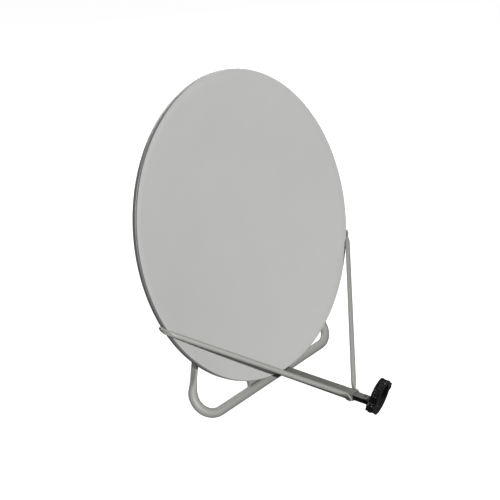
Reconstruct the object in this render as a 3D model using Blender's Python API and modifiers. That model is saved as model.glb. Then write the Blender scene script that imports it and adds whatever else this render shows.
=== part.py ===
"""Small offset satellite antenna on a floor stand of two bent tubes, in metres, +Z up.

The reflector faces -Y and leans back, X = 0 is its plane of symmetry and Z = 0 is the floor.
Each frame below is an empty whose local X is the world X. In the dish frame local Y is the depth
behind the plane of the rim and local Z runs up in that plane.
"""
import math

import bmesh
import bpy
from mathutils import Matrix, Vector

COLLECTION_NAME = "offset_satellite_antenna"
CUTTER_COLLECTION_NAME = "cutters"

# Clearance between pieces that touch on the real object
GAP = 0.0003

# Vertices nearer than this are joined, and cutters across X reach this far each way
JOIN_DISTANCE = 0.00001
CROSS_REACH = 0.1

# Reflector: an elliptical piece of a paraboloid with a flat lip and a turned-back edge
RIM_HALF_WIDTH = 0.225
RIM_HALF_HEIGHT = 0.247
RIM_CENTRE = Vector((0.0, 0.04848, 0.27463))
RIM_TILT = math.radians(17.5)
FOCAL_LENGTH = 0.27
DISH_SHEET = 0.0015
LIP_WIDTH = 0.006
SHOULDER_WIDTH = 0.003
SHOULDER_DEPTH = 0.0025
EDGE_DEPTH = 0.006
EDGE_RADIUS = 0.0015
DISH_SIDES = 60
DISH_RINGS = 7

# Pressed tray behind the reflector, and the yoke behind the tray
BRACKET_SHEET = 0.002
TRAY_HALF_WIDTH = 0.055
TRAY_DEPTH = 0.0475
TRAY_BOTTOM = -0.272
TRAY_TOP = 0.045
TRAY_TOE_BOTTOM = -0.268
TRAY_TOE_DEPTH = 0.038
TRAY_TOE_TOP = -0.250
TRAY_CONTOUR_BOTTOM = -0.215
YOKE_HALF_WIDTH = 0.052
YOKE_BOTTOM = -0.195
YOKE_TOP = -0.015
YOKE_EYE_RADIUS = 0.014
YOKE_EYE_ARC = math.radians(70.0)

# Studs on the reflector's back, the span of depth that holes are drilled over, and the sheet's
# thickness along the depth, as a share of its thickness, behind the middle and at the flanges
STUD_HALF_SPACING = 0.034
STUD_HEIGHTS = (-0.165, 0.015)
STUD_PAST_SEAT = 0.010
STUD_NUT_HEIGHT = 0.005
STUD_COLLAR_LEAST = 0.001
DRILL_FRONT = 0.03
DRILL_BACK = 0.06
SHEET_BEHIND_MIDDLE = 1.1
SHEET_AT_FLANGES = 1.15

# Stand tubes
TUBE_RADIUS = 0.008
TUBE_SIDES = 12
FLAT_THICKNESS = 0.004
FLAT_HALF_WIDTH = 0.0105
FRONT_RUN = Vector((0.0, -0.0446, -0.2669))
FRONT_LEAN = math.radians(47.0)
FRONT_HALF_RUN = 0.1261
FRONT_BEND = 0.0315
FRONT_TAPER = math.radians(39.5)
FRONT_TOP_BEND = 0.040
FRONT_EYE_LENGTH = 0.034
FRONT_ROUND_LEG = -0.012
FRONT_PRESS_LENGTH = 0.030
EYE_FROM_END = 0.012
EYE_SHARE_BEFORE = 0.45
REAR_RUN_Y = 0.165
REAR_HALF_RUN = 0.014
REAR_BEND = 0.022
REAR_TOP_BEND = 0.060
REAR_EYE_LENGTH = 0.028
REAR_PRESS_LENGTH = 0.030

# Feed arm: a rectangular tube, placed by the middle of its top face at its outer end
ARM_END = Vector((0.0, -0.2122, -0.20907))
ARM_SLOPE = math.radians(11.5)
ARM_WIDTH = 0.016
ARM_HEIGHT = 0.012
ARM_WALL = 0.0012
ARM_BOLT_FROM_END = 0.0058
ARM_ROOT_PLATE = Vector((0.044, 0.003, 0.014))
ARM_ROOT_BOLT_INSET = 0.007
ARM_ROOT_SPARE = 0.02

# Side struts
STRUT_RADIUS = 0.004
STRUT_FLAT_THICKNESS = 0.0022
STRUT_FLAT_HALF_WIDTH = 0.0042
STRUT_ANGLE = math.radians(-19.7)
STRUT_TAB_LENGTH = 0.009
STRUT_OUT = 0.0027
STRUT_DEPTH = 0.0006
STRUT_FLAT_PAST_BEND = 0.005
STRUT_FOOT_LENGTH = 0.012
STRUT_FOOT_SHARE = 0.45
STRUT_EASE = 0.012
STRUT_STATIONS = (0.005, 0.009, 0.013, 0.017, 0.030)
STRUT_SIDES = 10

# Feed holder of black plastic: a clamp ring, turned a little on a stem that tapers down to it
STEM_VISIBLE = 0.0229
STEM_HIDDEN = 0.030
NECK_LENGTH = 0.020
NECK_TOP_DROP = 0.0085
NECK_BOTTOM_DROP = 0.0055
HOLDER_TILT = math.radians(5.4)
HOLDER_TURN = math.radians(11.4)
HOLDER_BORE = 0.020
HOLDER_OUTER = 0.0272
HOLDER_LENGTH = 0.0115
HOLDER_CENTRE = Vector((-0.0032, -0.2567, -0.1893))
HOLDER_SPLIT = 0.0015
HOLDER_EAR = 0.0350
HOLDER_EAR_HEIGHT = 0.0042
HOLDER_SCREW_INSET = 0.005
HOLDER_SCREW_REACH = 0.03

# Fasteners
BOLT_RADIUS = 0.003
BOLT_HEAD_RADIUS = 0.0058
BOLT_HEAD_HEIGHT = 0.004
COLLAR_RADIUS = 0.0055
SMALL_BOLT_RADIUS = 0.002
SMALL_HEAD_RADIUS = 0.0038
SMALL_HEAD_HEIGHT = 0.0022

for old_object in list(bpy.data.objects):
    bpy.data.objects.remove(old_object, do_unlink=True)

part_collection = bpy.data.collections.new(COLLECTION_NAME)
cutter_collection = bpy.data.collections.new(CUTTER_COLLECTION_NAME)
bpy.context.scene.collection.children.link(part_collection)
bpy.context.scene.collection.children.link(cutter_collection)


def make_material(name, colour, roughness, metallic):
    """A Principled material with one colour."""
    material = bpy.data.materials.new(name)
    material.use_nodes = True
    shader = material.node_tree.nodes["Principled BSDF"]
    shader.inputs["Base Color"].default_value = (*colour, 1.0)
    shader.inputs["Roughness"].default_value = roughness
    shader.inputs["Metallic"].default_value = metallic
    return material


dish_paint = make_material("dish_paint", (0.50, 0.50, 0.50), 0.45, 0.0)
tube_paint = make_material("tube_paint", (0.34, 0.34, 0.34), 0.45, 0.0)
arm_paint = make_material("arm_paint", (0.30, 0.30, 0.29), 0.45, 0.0)
black_plastic = make_material("black_plastic", (0.012, 0.012, 0.012), 0.40, 0.0)
zinc = make_material("zinc", (0.60, 0.60, 0.58), 0.35, 1.0)


def make_frame(name, origin, lean, turn=0.0):
    """An empty at origin, given from the middle of the rim, leaning back by the angle lean and
    then turned about the vertical."""
    frame = bpy.data.objects.new(name, None)
    frame.location = RIM_CENTRE + origin
    frame.rotation_euler = (-lean, 0.0, turn)
    frame.empty_display_size = 0.03
    part_collection.objects.link(frame)
    bpy.context.view_layer.update()
    return frame


def add_mesh_object(name, mesh_builder, material, frame):
    """A named object holding what mesh_builder, a bmesh, has; it takes its place from the frame."""
    mesh = bpy.data.meshes.new(name)
    mesh_builder.to_mesh(mesh)
    mesh_builder.free()
    mesh.materials.append(material)
    made = bpy.data.objects.new(name, mesh)
    made.parent = frame
    part_collection.objects.link(made)
    return made


def shade_round(made, angle=math.radians(40.0)):
    """Smooth shading with sharp edges kept past the angle."""
    made.data.shade_smooth()
    made.data.set_sharp_from_angle(angle=angle)


def make_cutter(made):
    """Turns an object into a hidden Boolean cutter."""
    part_collection.objects.unlink(made)
    cutter_collection.objects.link(made)
    made.hide_render = True
    made.display_type = "WIRE"
    return made


def add_boolean(target, other, operation):
    """A live exact Boolean of other on target."""
    modifier = target.modifiers.new(other.name, "BOOLEAN")
    modifier.operation = operation
    modifier.object = other
    modifier.solver = "EXACT"


def add_cut(target, name, mesh_builder, material, frame, operation="DIFFERENCE"):
    """A hidden cutter of this mesh and its live Boolean on target."""
    cutter = make_cutter(add_mesh_object(name, mesh_builder, material, frame))
    add_boolean(target, cutter, operation)


def box_mesh(low, high):
    """A bmesh box between two corners."""
    low = Vector(low)
    high = Vector(high)
    builder = bmesh.new()
    bmesh.ops.create_cube(builder, size=1.0)
    size = high - low
    bmesh.ops.scale(builder, vec=size, verts=builder.verts)
    bmesh.ops.translate(builder, vec=(low + high) / 2.0, verts=builder.verts)
    return builder


def rod_mesh(start, end, radius, sides=12, builder=None):
    """A bmesh cylinder from start to end, added to builder where one is given."""
    start = Vector(start)
    end = Vector(end)
    builder = builder or bmesh.new()
    turn = (end - start).to_track_quat("Z", "Y").to_matrix().to_4x4()
    place = Matrix.Translation((start + end) / 2.0) @ turn
    bmesh.ops.create_cone(builder, cap_ends=True, segments=sides, radius1=radius, radius2=radius,
                          depth=(end - start).length, matrix=place)
    return builder


def cross_rod(depth, height, radius, sides=12):
    """A bmesh cylinder across X at a depth and height of its frame."""
    return rod_mesh((-CROSS_REACH, depth, height), (CROSS_REACH, depth, height), radius, sides)


def outline_mesh(points, thickness, place):
    """A flat outline in the XY plane, thickened both ways along Z, then moved by the matrix place."""
    curve = bpy.data.curves.new("outline", "CURVE")
    curve.dimensions = "2D"
    curve.fill_mode = "BOTH"
    curve.extrude = thickness / 2.0
    spline = curve.splines.new("POLY")
    spline.points.add(len(points) - 1)
    for spline_point, (x, y) in zip(spline.points, points):
        spline_point.co = (x, y, 0.0, 1.0)
    spline.use_cyclic_u = True
    carrier = bpy.data.objects.new("outline", curve)
    part_collection.objects.link(carrier)
    bpy.context.view_layer.update()
    depsgraph = bpy.context.evaluated_depsgraph_get()
    mesh = bpy.data.meshes.new_from_object(carrier.evaluated_get(depsgraph))
    bpy.data.objects.remove(carrier, do_unlink=True)
    builder = bmesh.new()
    builder.from_mesh(mesh)
    bpy.data.meshes.remove(mesh)
    bmesh.ops.remove_doubles(builder, verts=builder.verts, dist=JOIN_DISTANCE)
    bmesh.ops.transform(builder, matrix=place, verts=builder.verts)
    bmesh.ops.recalc_face_normals(builder, faces=builder.faces)
    return builder


# Outline planes: the first stands across X with the depth and the height as its two axes,
# the second faces along Y with X and the height as its two axes
SIDE_PLANE = Matrix(((0.0, 0.0, 1.0), (1.0, 0.0, 0.0), (0.0, 1.0, 0.0))).to_4x4()
FRONT_PLANE = Matrix(((1.0, 0.0, 0.0), (0.0, 0.0, -1.0), (0.0, 1.0, 0.0))).to_4x4()


def side_plate(points, thickness, x):
    """A plate across X, its outline given as depth and height."""
    return outline_mesh(points, thickness, Matrix.Translation((x, 0.0, 0.0)) @ SIDE_PLANE)


def arc_points(centre, radius, start, end, count):
    """Points of an arc about centre in a plane, from the angle start to the angle end."""
    points = []
    for step in range(count + 1):
        angle = start + (end - start) * step / count
        x = centre[0] + radius * math.cos(angle)
        y = centre[1] + radius * math.sin(angle)
        points.append((x, y))
    return points


# The reflector

OFFSET_ANGLE = math.acos(RIM_HALF_WIDTH / RIM_HALF_HEIGHT)
BOWL_FRACTION = 1.0 - (LIP_WIDTH + SHOULDER_WIDTH) / RIM_HALF_WIDTH
BOWL_DEPTH = (RIM_HALF_WIDTH * BOWL_FRACTION) ** 2 / (4.0 * FOCAL_LENGTH)


def reflector_profile():
    """Points from the middle to the edge: share of the radius, depth, and whether the depth is
    measured along the beam, as in the bowl, or square to the rim."""
    points = []
    for ring in range(DISH_RINGS + 1):
        share = ring / DISH_RINGS
        depth = SHOULDER_DEPTH + BOWL_DEPTH * (1.0 - share ** 2)
        points.append((BOWL_FRACTION * share, depth, True))
    points.append((1.0 - LIP_WIDTH / RIM_HALF_WIDTH, 0.0, False))
    corner = 1.0 - EDGE_RADIUS / RIM_HALF_WIDTH
    points.append((corner, 0.0, False))
    mid_turn = math.radians(45.0)
    points.append((corner + EDGE_RADIUS * math.sin(mid_turn) / RIM_HALF_WIDTH,
                   EDGE_RADIUS * (1.0 - math.cos(mid_turn)), False))
    points.append((1.0, EDGE_RADIUS, False))
    points.append((1.0, EDGE_DEPTH, False))
    return points


def dish_point(share, angle, depth, along_beam):
    """A point of the reflector in the dish frame."""
    x = RIM_HALF_WIDTH * share * math.cos(angle)
    height = RIM_HALF_HEIGHT * share * math.sin(angle)
    if along_beam:
        return Vector((x, depth * math.cos(OFFSET_ANGLE), height - depth * math.sin(OFFSET_ANGLE)))
    return Vector((x, depth, height))


def bowl_depth_at(x, height):
    """Depth of the bowl's front behind the rim plane at a place in the dish frame."""
    depth = 0.0
    for _ in range(12):
        share_x = x / (RIM_HALF_WIDTH * BOWL_FRACTION)
        share_z = (height + depth * math.sin(OFFSET_ANGLE)) / (RIM_HALF_HEIGHT * BOWL_FRACTION)
        depth = SHOULDER_DEPTH + BOWL_DEPTH * (1.0 - share_x ** 2 - share_z ** 2)
    return depth * math.cos(OFFSET_ANGLE)


def bowl_back_at(x, height, radius):
    """Depth just behind the bowl's back over a small circle round a place in the dish frame."""
    depth = bowl_depth_at(x, height)
    for step in range(12):
        angle = math.radians(30.0 * step)
        across = x + radius * math.cos(angle)
        depth = max(depth, bowl_depth_at(across, height + radius * math.sin(angle)))
    return depth + DISH_SHEET * SHEET_BEHIND_MIDDLE + GAP


def build_reflector(frame):
    """The profile is spun about the middle, stretched to the ellipse and given its thickness."""
    builder = bmesh.new()
    profile = reflector_profile()
    kinds = {}
    verts = [builder.verts.new((share, 0.0, float(index))) for index, (share, _, _) in enumerate(profile)]
    edges = [builder.edges.new(pair) for pair in zip(verts[:-1], verts[1:])]
    bmesh.ops.spin(builder, geom=verts + edges, cent=(0.0, 0.0, 0.0), axis=(0.0, 0.0, 1.0),
                   angle=2.0 * math.pi, steps=DISH_SIDES, use_merge=True)
    bmesh.ops.remove_doubles(builder, verts=builder.verts, dist=JOIN_DISTANCE)
    for vert in builder.verts:
        share, depth, along_beam = profile[round(vert.co.z)]
        angle = math.atan2(vert.co.y, vert.co.x)
        kinds[vert] = dish_point(share, angle, depth, along_beam)
    for vert, place in kinds.items():
        vert.co = place
    builder.normal_update()
    middle = min(builder.faces, key=lambda face: face.calc_center_median().xz.length)
    if middle.normal.y > 0.0:
        bmesh.ops.reverse_faces(builder, faces=builder.faces)
    reflector = add_mesh_object("reflector", builder, dish_paint, frame)
    shell = reflector.modifiers.new("sheet", "SOLIDIFY")
    shell.thickness = DISH_SHEET
    shell.offset = -1.0
    shell.use_even_offset = True
    shade_round(reflector)


# The tray behind the reflector

def tray_flange_outline():
    """Side of the tray: it follows the back of the bowl and steps back to a toe over the run tube."""
    back = TRAY_DEPTH
    points = [(back, TRAY_TOE_BOTTOM), (TRAY_TOE_DEPTH, TRAY_TOE_BOTTOM), (TRAY_TOE_DEPTH, TRAY_TOE_TOP)]
    steps = 9
    for step in range(steps + 1):
        height = TRAY_CONTOUR_BOTTOM + (TRAY_TOP - TRAY_CONTOUR_BOTTOM) * step / steps
        bowl_back = bowl_depth_at(TRAY_HALF_WIDTH, height) + DISH_SHEET * SHEET_AT_FLANGES
        points.append((bowl_back + GAP, height))
    points.append((back, TRAY_TOP))
    return points


def build_tray(frame):
    """Web and two forward flanges in one sheet, notched round the run tube."""
    web = box_mesh((-TRAY_HALF_WIDTH, TRAY_DEPTH - BRACKET_SHEET, TRAY_BOTTOM),
                   (TRAY_HALF_WIDTH, TRAY_DEPTH, TRAY_TOP))
    tray = add_mesh_object("back_tray", web, tube_paint, frame)
    for side, label in ((-1.0, "left"), (1.0, "right")):
        x = side * (TRAY_HALF_WIDTH - BRACKET_SHEET / 2.0)
        flange = side_plate(tray_flange_outline(), BRACKET_SHEET, x)
        add_cut(tray, "tray_flange_" + label, flange, tube_paint, frame, "UNION")
    run = run_in_dish_frame()
    notch = cross_rod(run.y, run.z, TUBE_RADIUS + GAP, 24)
    add_cut(tray, "tray_notch", notch, tube_paint, frame)
    for x, height in stud_places():
        add_cut(tray, "tray_hole", drill(x, height, BOLT_RADIUS), tube_paint, frame)


def drill(x, height, radius):
    """The hole that a bolt of this radius needs through the tray and the yoke."""
    return rod_mesh((x, DRILL_FRONT, height), (x, DRILL_BACK, height), radius + GAP)


def run_in_dish_frame():
    """The axis of the front run tube as depth and height in the dish frame."""
    return Matrix.Rotation(RIM_TILT, 3, "X") @ FRONT_RUN


def stud_places():
    """X and height of the four studs on the reflector's back."""
    places = []
    for height in STUD_HEIGHTS:
        for x in (-STUD_HALF_SPACING, STUD_HALF_SPACING):
            places.append((x, height))
    return places


def build_studs(frame):
    """Each stud starts at the back of the bowl and carries a nut behind the yoke or the tray."""
    names = ("dish_stud_low_left", "dish_stud_low_right", "dish_stud_high_left", "dish_stud_high_right")
    for name, (x, height) in zip(names, stud_places()):
        front = bowl_back_at(x, height, BOLT_RADIUS)
        seat = TRAY_DEPTH + BRACKET_SHEET + 2.0 * GAP
        shank = rod_mesh((x, front, height), (x, seat + STUD_PAST_SEAT, height), BOLT_RADIUS)
        stud = add_mesh_object(name, shank, zinc, frame)
        collar_front = bowl_back_at(x, height, COLLAR_RADIUS)
        collar_back = TRAY_DEPTH - BRACKET_SHEET - GAP
        if collar_front + STUD_COLLAR_LEAST < collar_back:
            collar = rod_mesh((x, collar_front, height), (x, collar_back, height), COLLAR_RADIUS)
            add_cut(stud, name + "_collar", collar, zinc, frame, "UNION")
        nut = rod_mesh((x, seat, height), (x, seat + STUD_NUT_HEIGHT, height), BOLT_HEAD_RADIUS, 6)
        add_cut(stud, name + "_nut", nut, zinc, frame, "UNION")


# The yoke

def eye_in_dish_frame():
    """Depth and height of the stand's pivot in the dish frame."""
    eye = FRONT_RUN + Matrix.Rotation(-FRONT_LEAN, 3, "X") @ Vector((0.0, 0.0, front_eye_height()))
    turned = Matrix.Rotation(RIM_TILT, 3, "X") @ eye
    return turned.y, turned.z


def build_yoke(frame):
    """Web with two flanges that reach back to the stand's pivot."""
    front = TRAY_DEPTH + GAP
    web = box_mesh((-YOKE_HALF_WIDTH, front, YOKE_BOTTOM),
                   (YOKE_HALF_WIDTH, front + BRACKET_SHEET, YOKE_TOP))
    yoke = add_mesh_object("rear_yoke", web, tube_paint, frame)
    eye = eye_in_dish_frame()
    outline = [(front, YOKE_BOTTOM)]
    outline += arc_points(eye, YOKE_EYE_RADIUS, -YOKE_EYE_ARC, YOKE_EYE_ARC, 10)
    outline.append((front, YOKE_TOP))
    for side, label in ((-1.0, "left"), (1.0, "right")):
        x = side * (YOKE_HALF_WIDTH - BRACKET_SHEET / 2.0)
        flange = side_plate(outline, BRACKET_SHEET, x)
        add_cut(yoke, "yoke_flange_" + label, flange, tube_paint, frame, "UNION")
    add_cut(yoke, "yoke_hole", cross_rod(eye[0], eye[1], BOLT_RADIUS + GAP), tube_paint, frame)
    for x, height in stud_places():
        if height < YOKE_TOP:
            add_cut(yoke, "yoke_hole", drill(x, height, BOLT_RADIUS), tube_paint, frame)


# Tubes with flattened ends

def section_ring(builder, centre, wide, thin, half_wide, half_thin, flatness, sides, phase=0.0):
    """A ring of vertices: an ellipse at flatness 0, turned by the angle phase, and nearly a
    rectangle at flatness 1."""
    power = 1.0 - 0.75 * flatness
    ring = []
    for side in range(sides):
        angle = 2.0 * math.pi * (side + 0.5) / sides + phase * (1.0 - flatness)
        along = math.copysign(abs(math.cos(angle)) ** power, math.cos(angle))
        across = math.copysign(abs(math.sin(angle)) ** power, math.sin(angle))
        ring.append(builder.verts.new(centre + wide * half_wide * along + thin * half_thin * across))
    return ring


def loft_rings(builder, rings):
    """Joins the rings in turn by quads and closes both ends."""
    sides = len(rings[0])
    for first, second in zip(rings[:-1], rings[1:]):
        for side in range(sides):
            after = (side + 1) % sides
            builder.faces.new((first[side], first[after], second[after], second[side]))
    builder.faces.new(list(reversed(rings[0])))
    builder.faces.new(rings[-1])
    bmesh.ops.recalc_face_normals(builder, faces=builder.faces)


def path_lengths(points):
    """Distance along the path from its start to each of its points."""
    lengths = [0.0]
    for first, second in zip(points[:-1], points[1:]):
        lengths.append(lengths[-1] + (second - first).length)
    return lengths


def path_tangent(points, index):
    """Way of the path at one of its points, from its neighbours."""
    before = points[max(index - 1, 0)]
    after = points[min(index + 1, len(points) - 1)]
    return (after - before).normalized()


def press_share(distance, flat_length, ease):
    """1 over the flat, easing to 0 past it."""
    past = (distance - flat_length) / ease
    past = min(max(past, 0.0), 1.0)
    return 1.0 - past * past * (3.0 - 2.0 * past)


class Trail:
    """Points of a plane path drawn by straight stretches and arcs."""

    def __init__(self):
        self.points = [Vector((0.0, 0.0))]
        self.heading = 0.0

    def straight(self, length, steps=1):
        """Goes on the way it heads."""
        start = self.points[-1].copy()
        way = Vector((math.cos(self.heading), math.sin(self.heading)))
        for step in range(1, steps + 1):
            self.points.append(start + way * length * step / steps)

    def bend(self, radius, angle, steps):
        """Turns by the angle, to the left where it is positive."""
        sign = math.copysign(1.0, angle)
        start = self.points[-1].copy()
        side = Vector((-math.sin(self.heading), math.cos(self.heading))) * sign
        centre = start + side * radius
        for step in range(1, steps + 1):
            turned = Matrix.Rotation(angle * step / steps, 2) @ (start - centre)
            self.points.append(centre + turned)
        self.heading += angle


def loop_trail(half_run, bend, taper, end_x, top_bend, eye_length):
    """Right half of a stand loop in its own plane: run, corner, leg, and an end square to the run."""
    trail = Trail()
    trail.straight(half_run, 2)
    trail.bend(bend, math.radians(90.0) + taper, 10)
    leg_x = trail.points[-1].x
    top_shift = top_bend * (1.0 - math.cos(taper)) * math.copysign(1.0, taper)
    leg = (leg_x - end_x - top_shift) / math.sin(taper)
    trail.straight(leg, 8)
    trail.bend(top_bend, -taper, 4)
    trail.straight(eye_length * EYE_SHARE_BEFORE, 1)
    trail.straight(eye_length * (1.0 - EYE_SHARE_BEFORE), 2)
    return trail.points


def mirrored_points(half):
    """The half path and its mirror image as one path in the XZ plane of a frame."""
    right = [Vector((point.x, 0.0, point.y)) for point in half]
    left = [Vector((-point.x, 0.0, point.z)) for point in right[:0:-1]]
    return left + right


FRONT_END_X = YOKE_HALF_WIDTH + GAP + FLAT_THICKNESS / 2.0
REAR_END_X = YOKE_HALF_WIDTH - BRACKET_SHEET - GAP - FLAT_THICKNESS / 2.0


def front_half():
    """The front loop's half path."""
    return loop_trail(FRONT_HALF_RUN, FRONT_BEND, FRONT_TAPER, FRONT_END_X, FRONT_TOP_BEND, FRONT_EYE_LENGTH)


def front_eye_height():
    """Distance of the pivot from the run's axis, up the plane of the front loop."""
    return front_half()[-1].y - EYE_FROM_END


def add_stand_loop(name, half, round_half, press_length, lean, frame):
    """One stand loop with both ends pressed flat and drilled for the pivot bolts."""
    facet = 2.0 * math.pi / TUBE_SIDES
    down = lean - math.pi / 2.0
    phase = down - round(down / facet) * facet
    loop = loop_mesh(name, mirrored_points(half), round_half, press_length, phase, frame)
    hole = cross_rod(0.0, half[-1].y - EYE_FROM_END, BOLT_RADIUS + GAP)
    add_cut(loop, name + "_hole", hole, tube_paint, frame)


def loop_mesh(name, points, round_half, press_length, phase, frame):
    """The loop's tube: round for round_half each way from its middle, with one facet down on the
    floor, then pressed flat over press_length, with the flats looking along the loop's plane."""
    lengths = path_lengths(points)
    middle = lengths[-1] / 2.0
    wide = Vector((0.0, 1.0, 0.0))
    builder = bmesh.new()
    rings = []
    for index, point in enumerate(points):
        thin = path_tangent(points, index).cross(wide)
        pressed = 1.0 - press_share(abs(lengths[index] - middle), round_half, press_length)
        half_wide = TUBE_RADIUS + (FLAT_HALF_WIDTH - TUBE_RADIUS) * pressed
        half_thin = TUBE_RADIUS + (FLAT_THICKNESS / 2.0 - TUBE_RADIUS) * pressed
        rings.append(section_ring(builder, point, wide, thin, half_wide, half_thin, pressed, TUBE_SIDES,
                                  phase))
    loft_rings(builder, rings)
    made = add_mesh_object(name, builder, tube_paint, frame)
    shade_round(made)
    return made


def build_stand(front_frame):
    """The front loop and the rear loop, bolted together through the yoke."""
    round_half = FRONT_HALF_RUN + FRONT_BEND * (math.pi / 2.0 + FRONT_TAPER) + FRONT_ROUND_LEG
    add_stand_loop("front_loop", front_half(), round_half, FRONT_PRESS_LENGTH, FRONT_LEAN, front_frame)
    turn = Matrix.Rotation(-FRONT_LEAN, 3, "X")
    eye = FRONT_RUN + turn @ Vector((0.0, 0.0, front_eye_height()))
    run = Vector((0.0, REAR_RUN_Y, FRONT_RUN.z))
    rise = eye - run
    rear_lean = math.atan2(rise.y, rise.z)
    rear_frame = make_frame("rear_loop_frame", run, rear_lean)
    half = rear_half(rise.length)
    round_half = path_lengths(half)[-1] - REAR_EYE_LENGTH - REAR_PRESS_LENGTH
    add_stand_loop("rear_loop", half, round_half, REAR_PRESS_LENGTH, rear_lean, rear_frame)


def rear_half(eye_height):
    """The rear loop's half path, with the spread of its legs found from the height of the pivot."""
    low = math.radians(-40.0)
    high = math.radians(-1.0)
    for _ in range(40):
        taper = (low + high) / 2.0
        half = loop_trail(REAR_HALF_RUN, REAR_BEND, taper, REAR_END_X, REAR_TOP_BEND, REAR_EYE_LENGTH)
        if half[-1].y - EYE_FROM_END > eye_height:
            high = taper
        else:
            low = taper
    return half


def add_bolt(name, start, end, radius, head_radius, head_height, frame):
    """A hexagon bolt whose head seats at start and whose nut seats at end."""
    start = Vector(start)
    end = Vector(end)
    way = (end - start).normalized()
    shank = rod_mesh(start - way * head_height * 0.5, end + way * (head_height * 1.6), radius)
    bolt = add_mesh_object(name, shank, zinc, frame)
    head = rod_mesh(start - way * head_height, start, head_radius, 6)
    add_cut(bolt, name + "_head", head, zinc, frame, "UNION")
    nut = rod_mesh(end, end + way * head_height, head_radius, 6)
    add_cut(bolt, name + "_nut", nut, zinc, frame, "UNION")


def build_pivot_bolts(frame):
    """One bolt a side through the front eye, the yoke and the rear eye."""
    depth, height = eye_in_dish_frame()
    outer = FRONT_END_X + FLAT_THICKNESS / 2.0 + GAP
    inner = REAR_END_X - FLAT_THICKNESS / 2.0 - GAP
    for side, name in ((-1.0, "pivot_bolt_left"), (1.0, "pivot_bolt_right")):
        add_bolt(name, (side * outer, depth, height), (side * inner, depth, height),
                 BOLT_RADIUS, BOLT_HEAD_RADIUS, BOLT_HEAD_HEIGHT, frame)


# The feed arm and its holder

# Depth of the arm's cut end, which meets the front of its root plate
ARM_ROOT_DEPTH = TRAY_DEPTH - BRACKET_SHEET - GAP - ARM_ROOT_PLATE.y - GAP


def arm_length_to_tray():
    """Length of the arm from its outer end back to the root plate on the tray's web."""
    depth_row = Matrix.Rotation(RIM_TILT, 3, "X")
    end_depth = (depth_row @ ARM_END).y
    way_back = Matrix.Rotation(-ARM_SLOPE, 3, "X") @ Vector((0.0, 1.0, 0.0))
    return (ARM_ROOT_DEPTH - end_depth) / (depth_row @ way_back).y


def arm_end_hole():
    """The hole for the bolt that holds the struts and the stem at the arm's outer end."""
    return cross_rod(ARM_BOLT_FROM_END, -ARM_HEIGHT / 2.0, SMALL_BOLT_RADIUS + GAP)


def build_arm(arm_frame, dish_frame):
    """A hollow rectangular tube cut square to the tray at its root, and its root plate."""
    half = ARM_WIDTH / 2.0
    length = arm_length_to_tray()
    tube = box_mesh((-half, 0.0, -ARM_HEIGHT), (half, length + ARM_ROOT_SPARE, 0.0))
    arm = add_mesh_object("feed_arm", tube, arm_paint, arm_frame)
    bore = box_mesh((-half + ARM_WALL, -ARM_ROOT_SPARE, -ARM_HEIGHT + ARM_WALL),
                    (half - ARM_WALL, length + 2.0 * ARM_ROOT_SPARE, -ARM_WALL))
    add_cut(arm, "arm_bore", bore, arm_paint, arm_frame)
    root = root_centre_in_dish_frame()
    trim = box_mesh((-CROSS_REACH, ARM_ROOT_DEPTH, root - CROSS_REACH),
                    (CROSS_REACH, ARM_ROOT_DEPTH + CROSS_REACH, root + CROSS_REACH))
    add_cut(arm, "arm_trim", trim, arm_paint, dish_frame)
    add_cut(arm, "arm_hole", arm_end_hole(), arm_paint, arm_frame)
    size = ARM_ROOT_PLATE
    low = (-size.x / 2.0, ARM_ROOT_DEPTH + GAP, root - size.z / 2.0)
    high = (size.x / 2.0, ARM_ROOT_DEPTH + GAP + size.y, root + size.z / 2.0)
    plate = add_mesh_object("arm_root_plate", box_mesh(low, high), arm_paint, dish_frame)
    for side, name in ((-1.0, "arm_root_bolt_left"), (1.0, "arm_root_bolt_right")):
        x = side * (size.x / 2.0 - ARM_ROOT_BOLT_INSET)
        for sheet in (plate, bpy.data.objects["back_tray"]):
            add_cut(sheet, "root_hole", drill(x, root, SMALL_BOLT_RADIUS), arm_paint, dish_frame)
        add_bolt(name, (x, ARM_ROOT_DEPTH, root), (x, TRAY_DEPTH + GAP, root),
                 SMALL_BOLT_RADIUS, SMALL_HEAD_RADIUS, SMALL_HEAD_HEIGHT, dish_frame)


def root_centre_in_dish_frame():
    """Height, in the dish frame, at which the arm's axis meets the tray."""
    axis = Vector((0.0, arm_length_to_tray(), -ARM_HEIGHT / 2.0))
    place = ARM_END + Matrix.Rotation(-ARM_SLOPE, 3, "X") @ axis
    return (Matrix.Rotation(RIM_TILT, 3, "X") @ place).z


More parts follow.
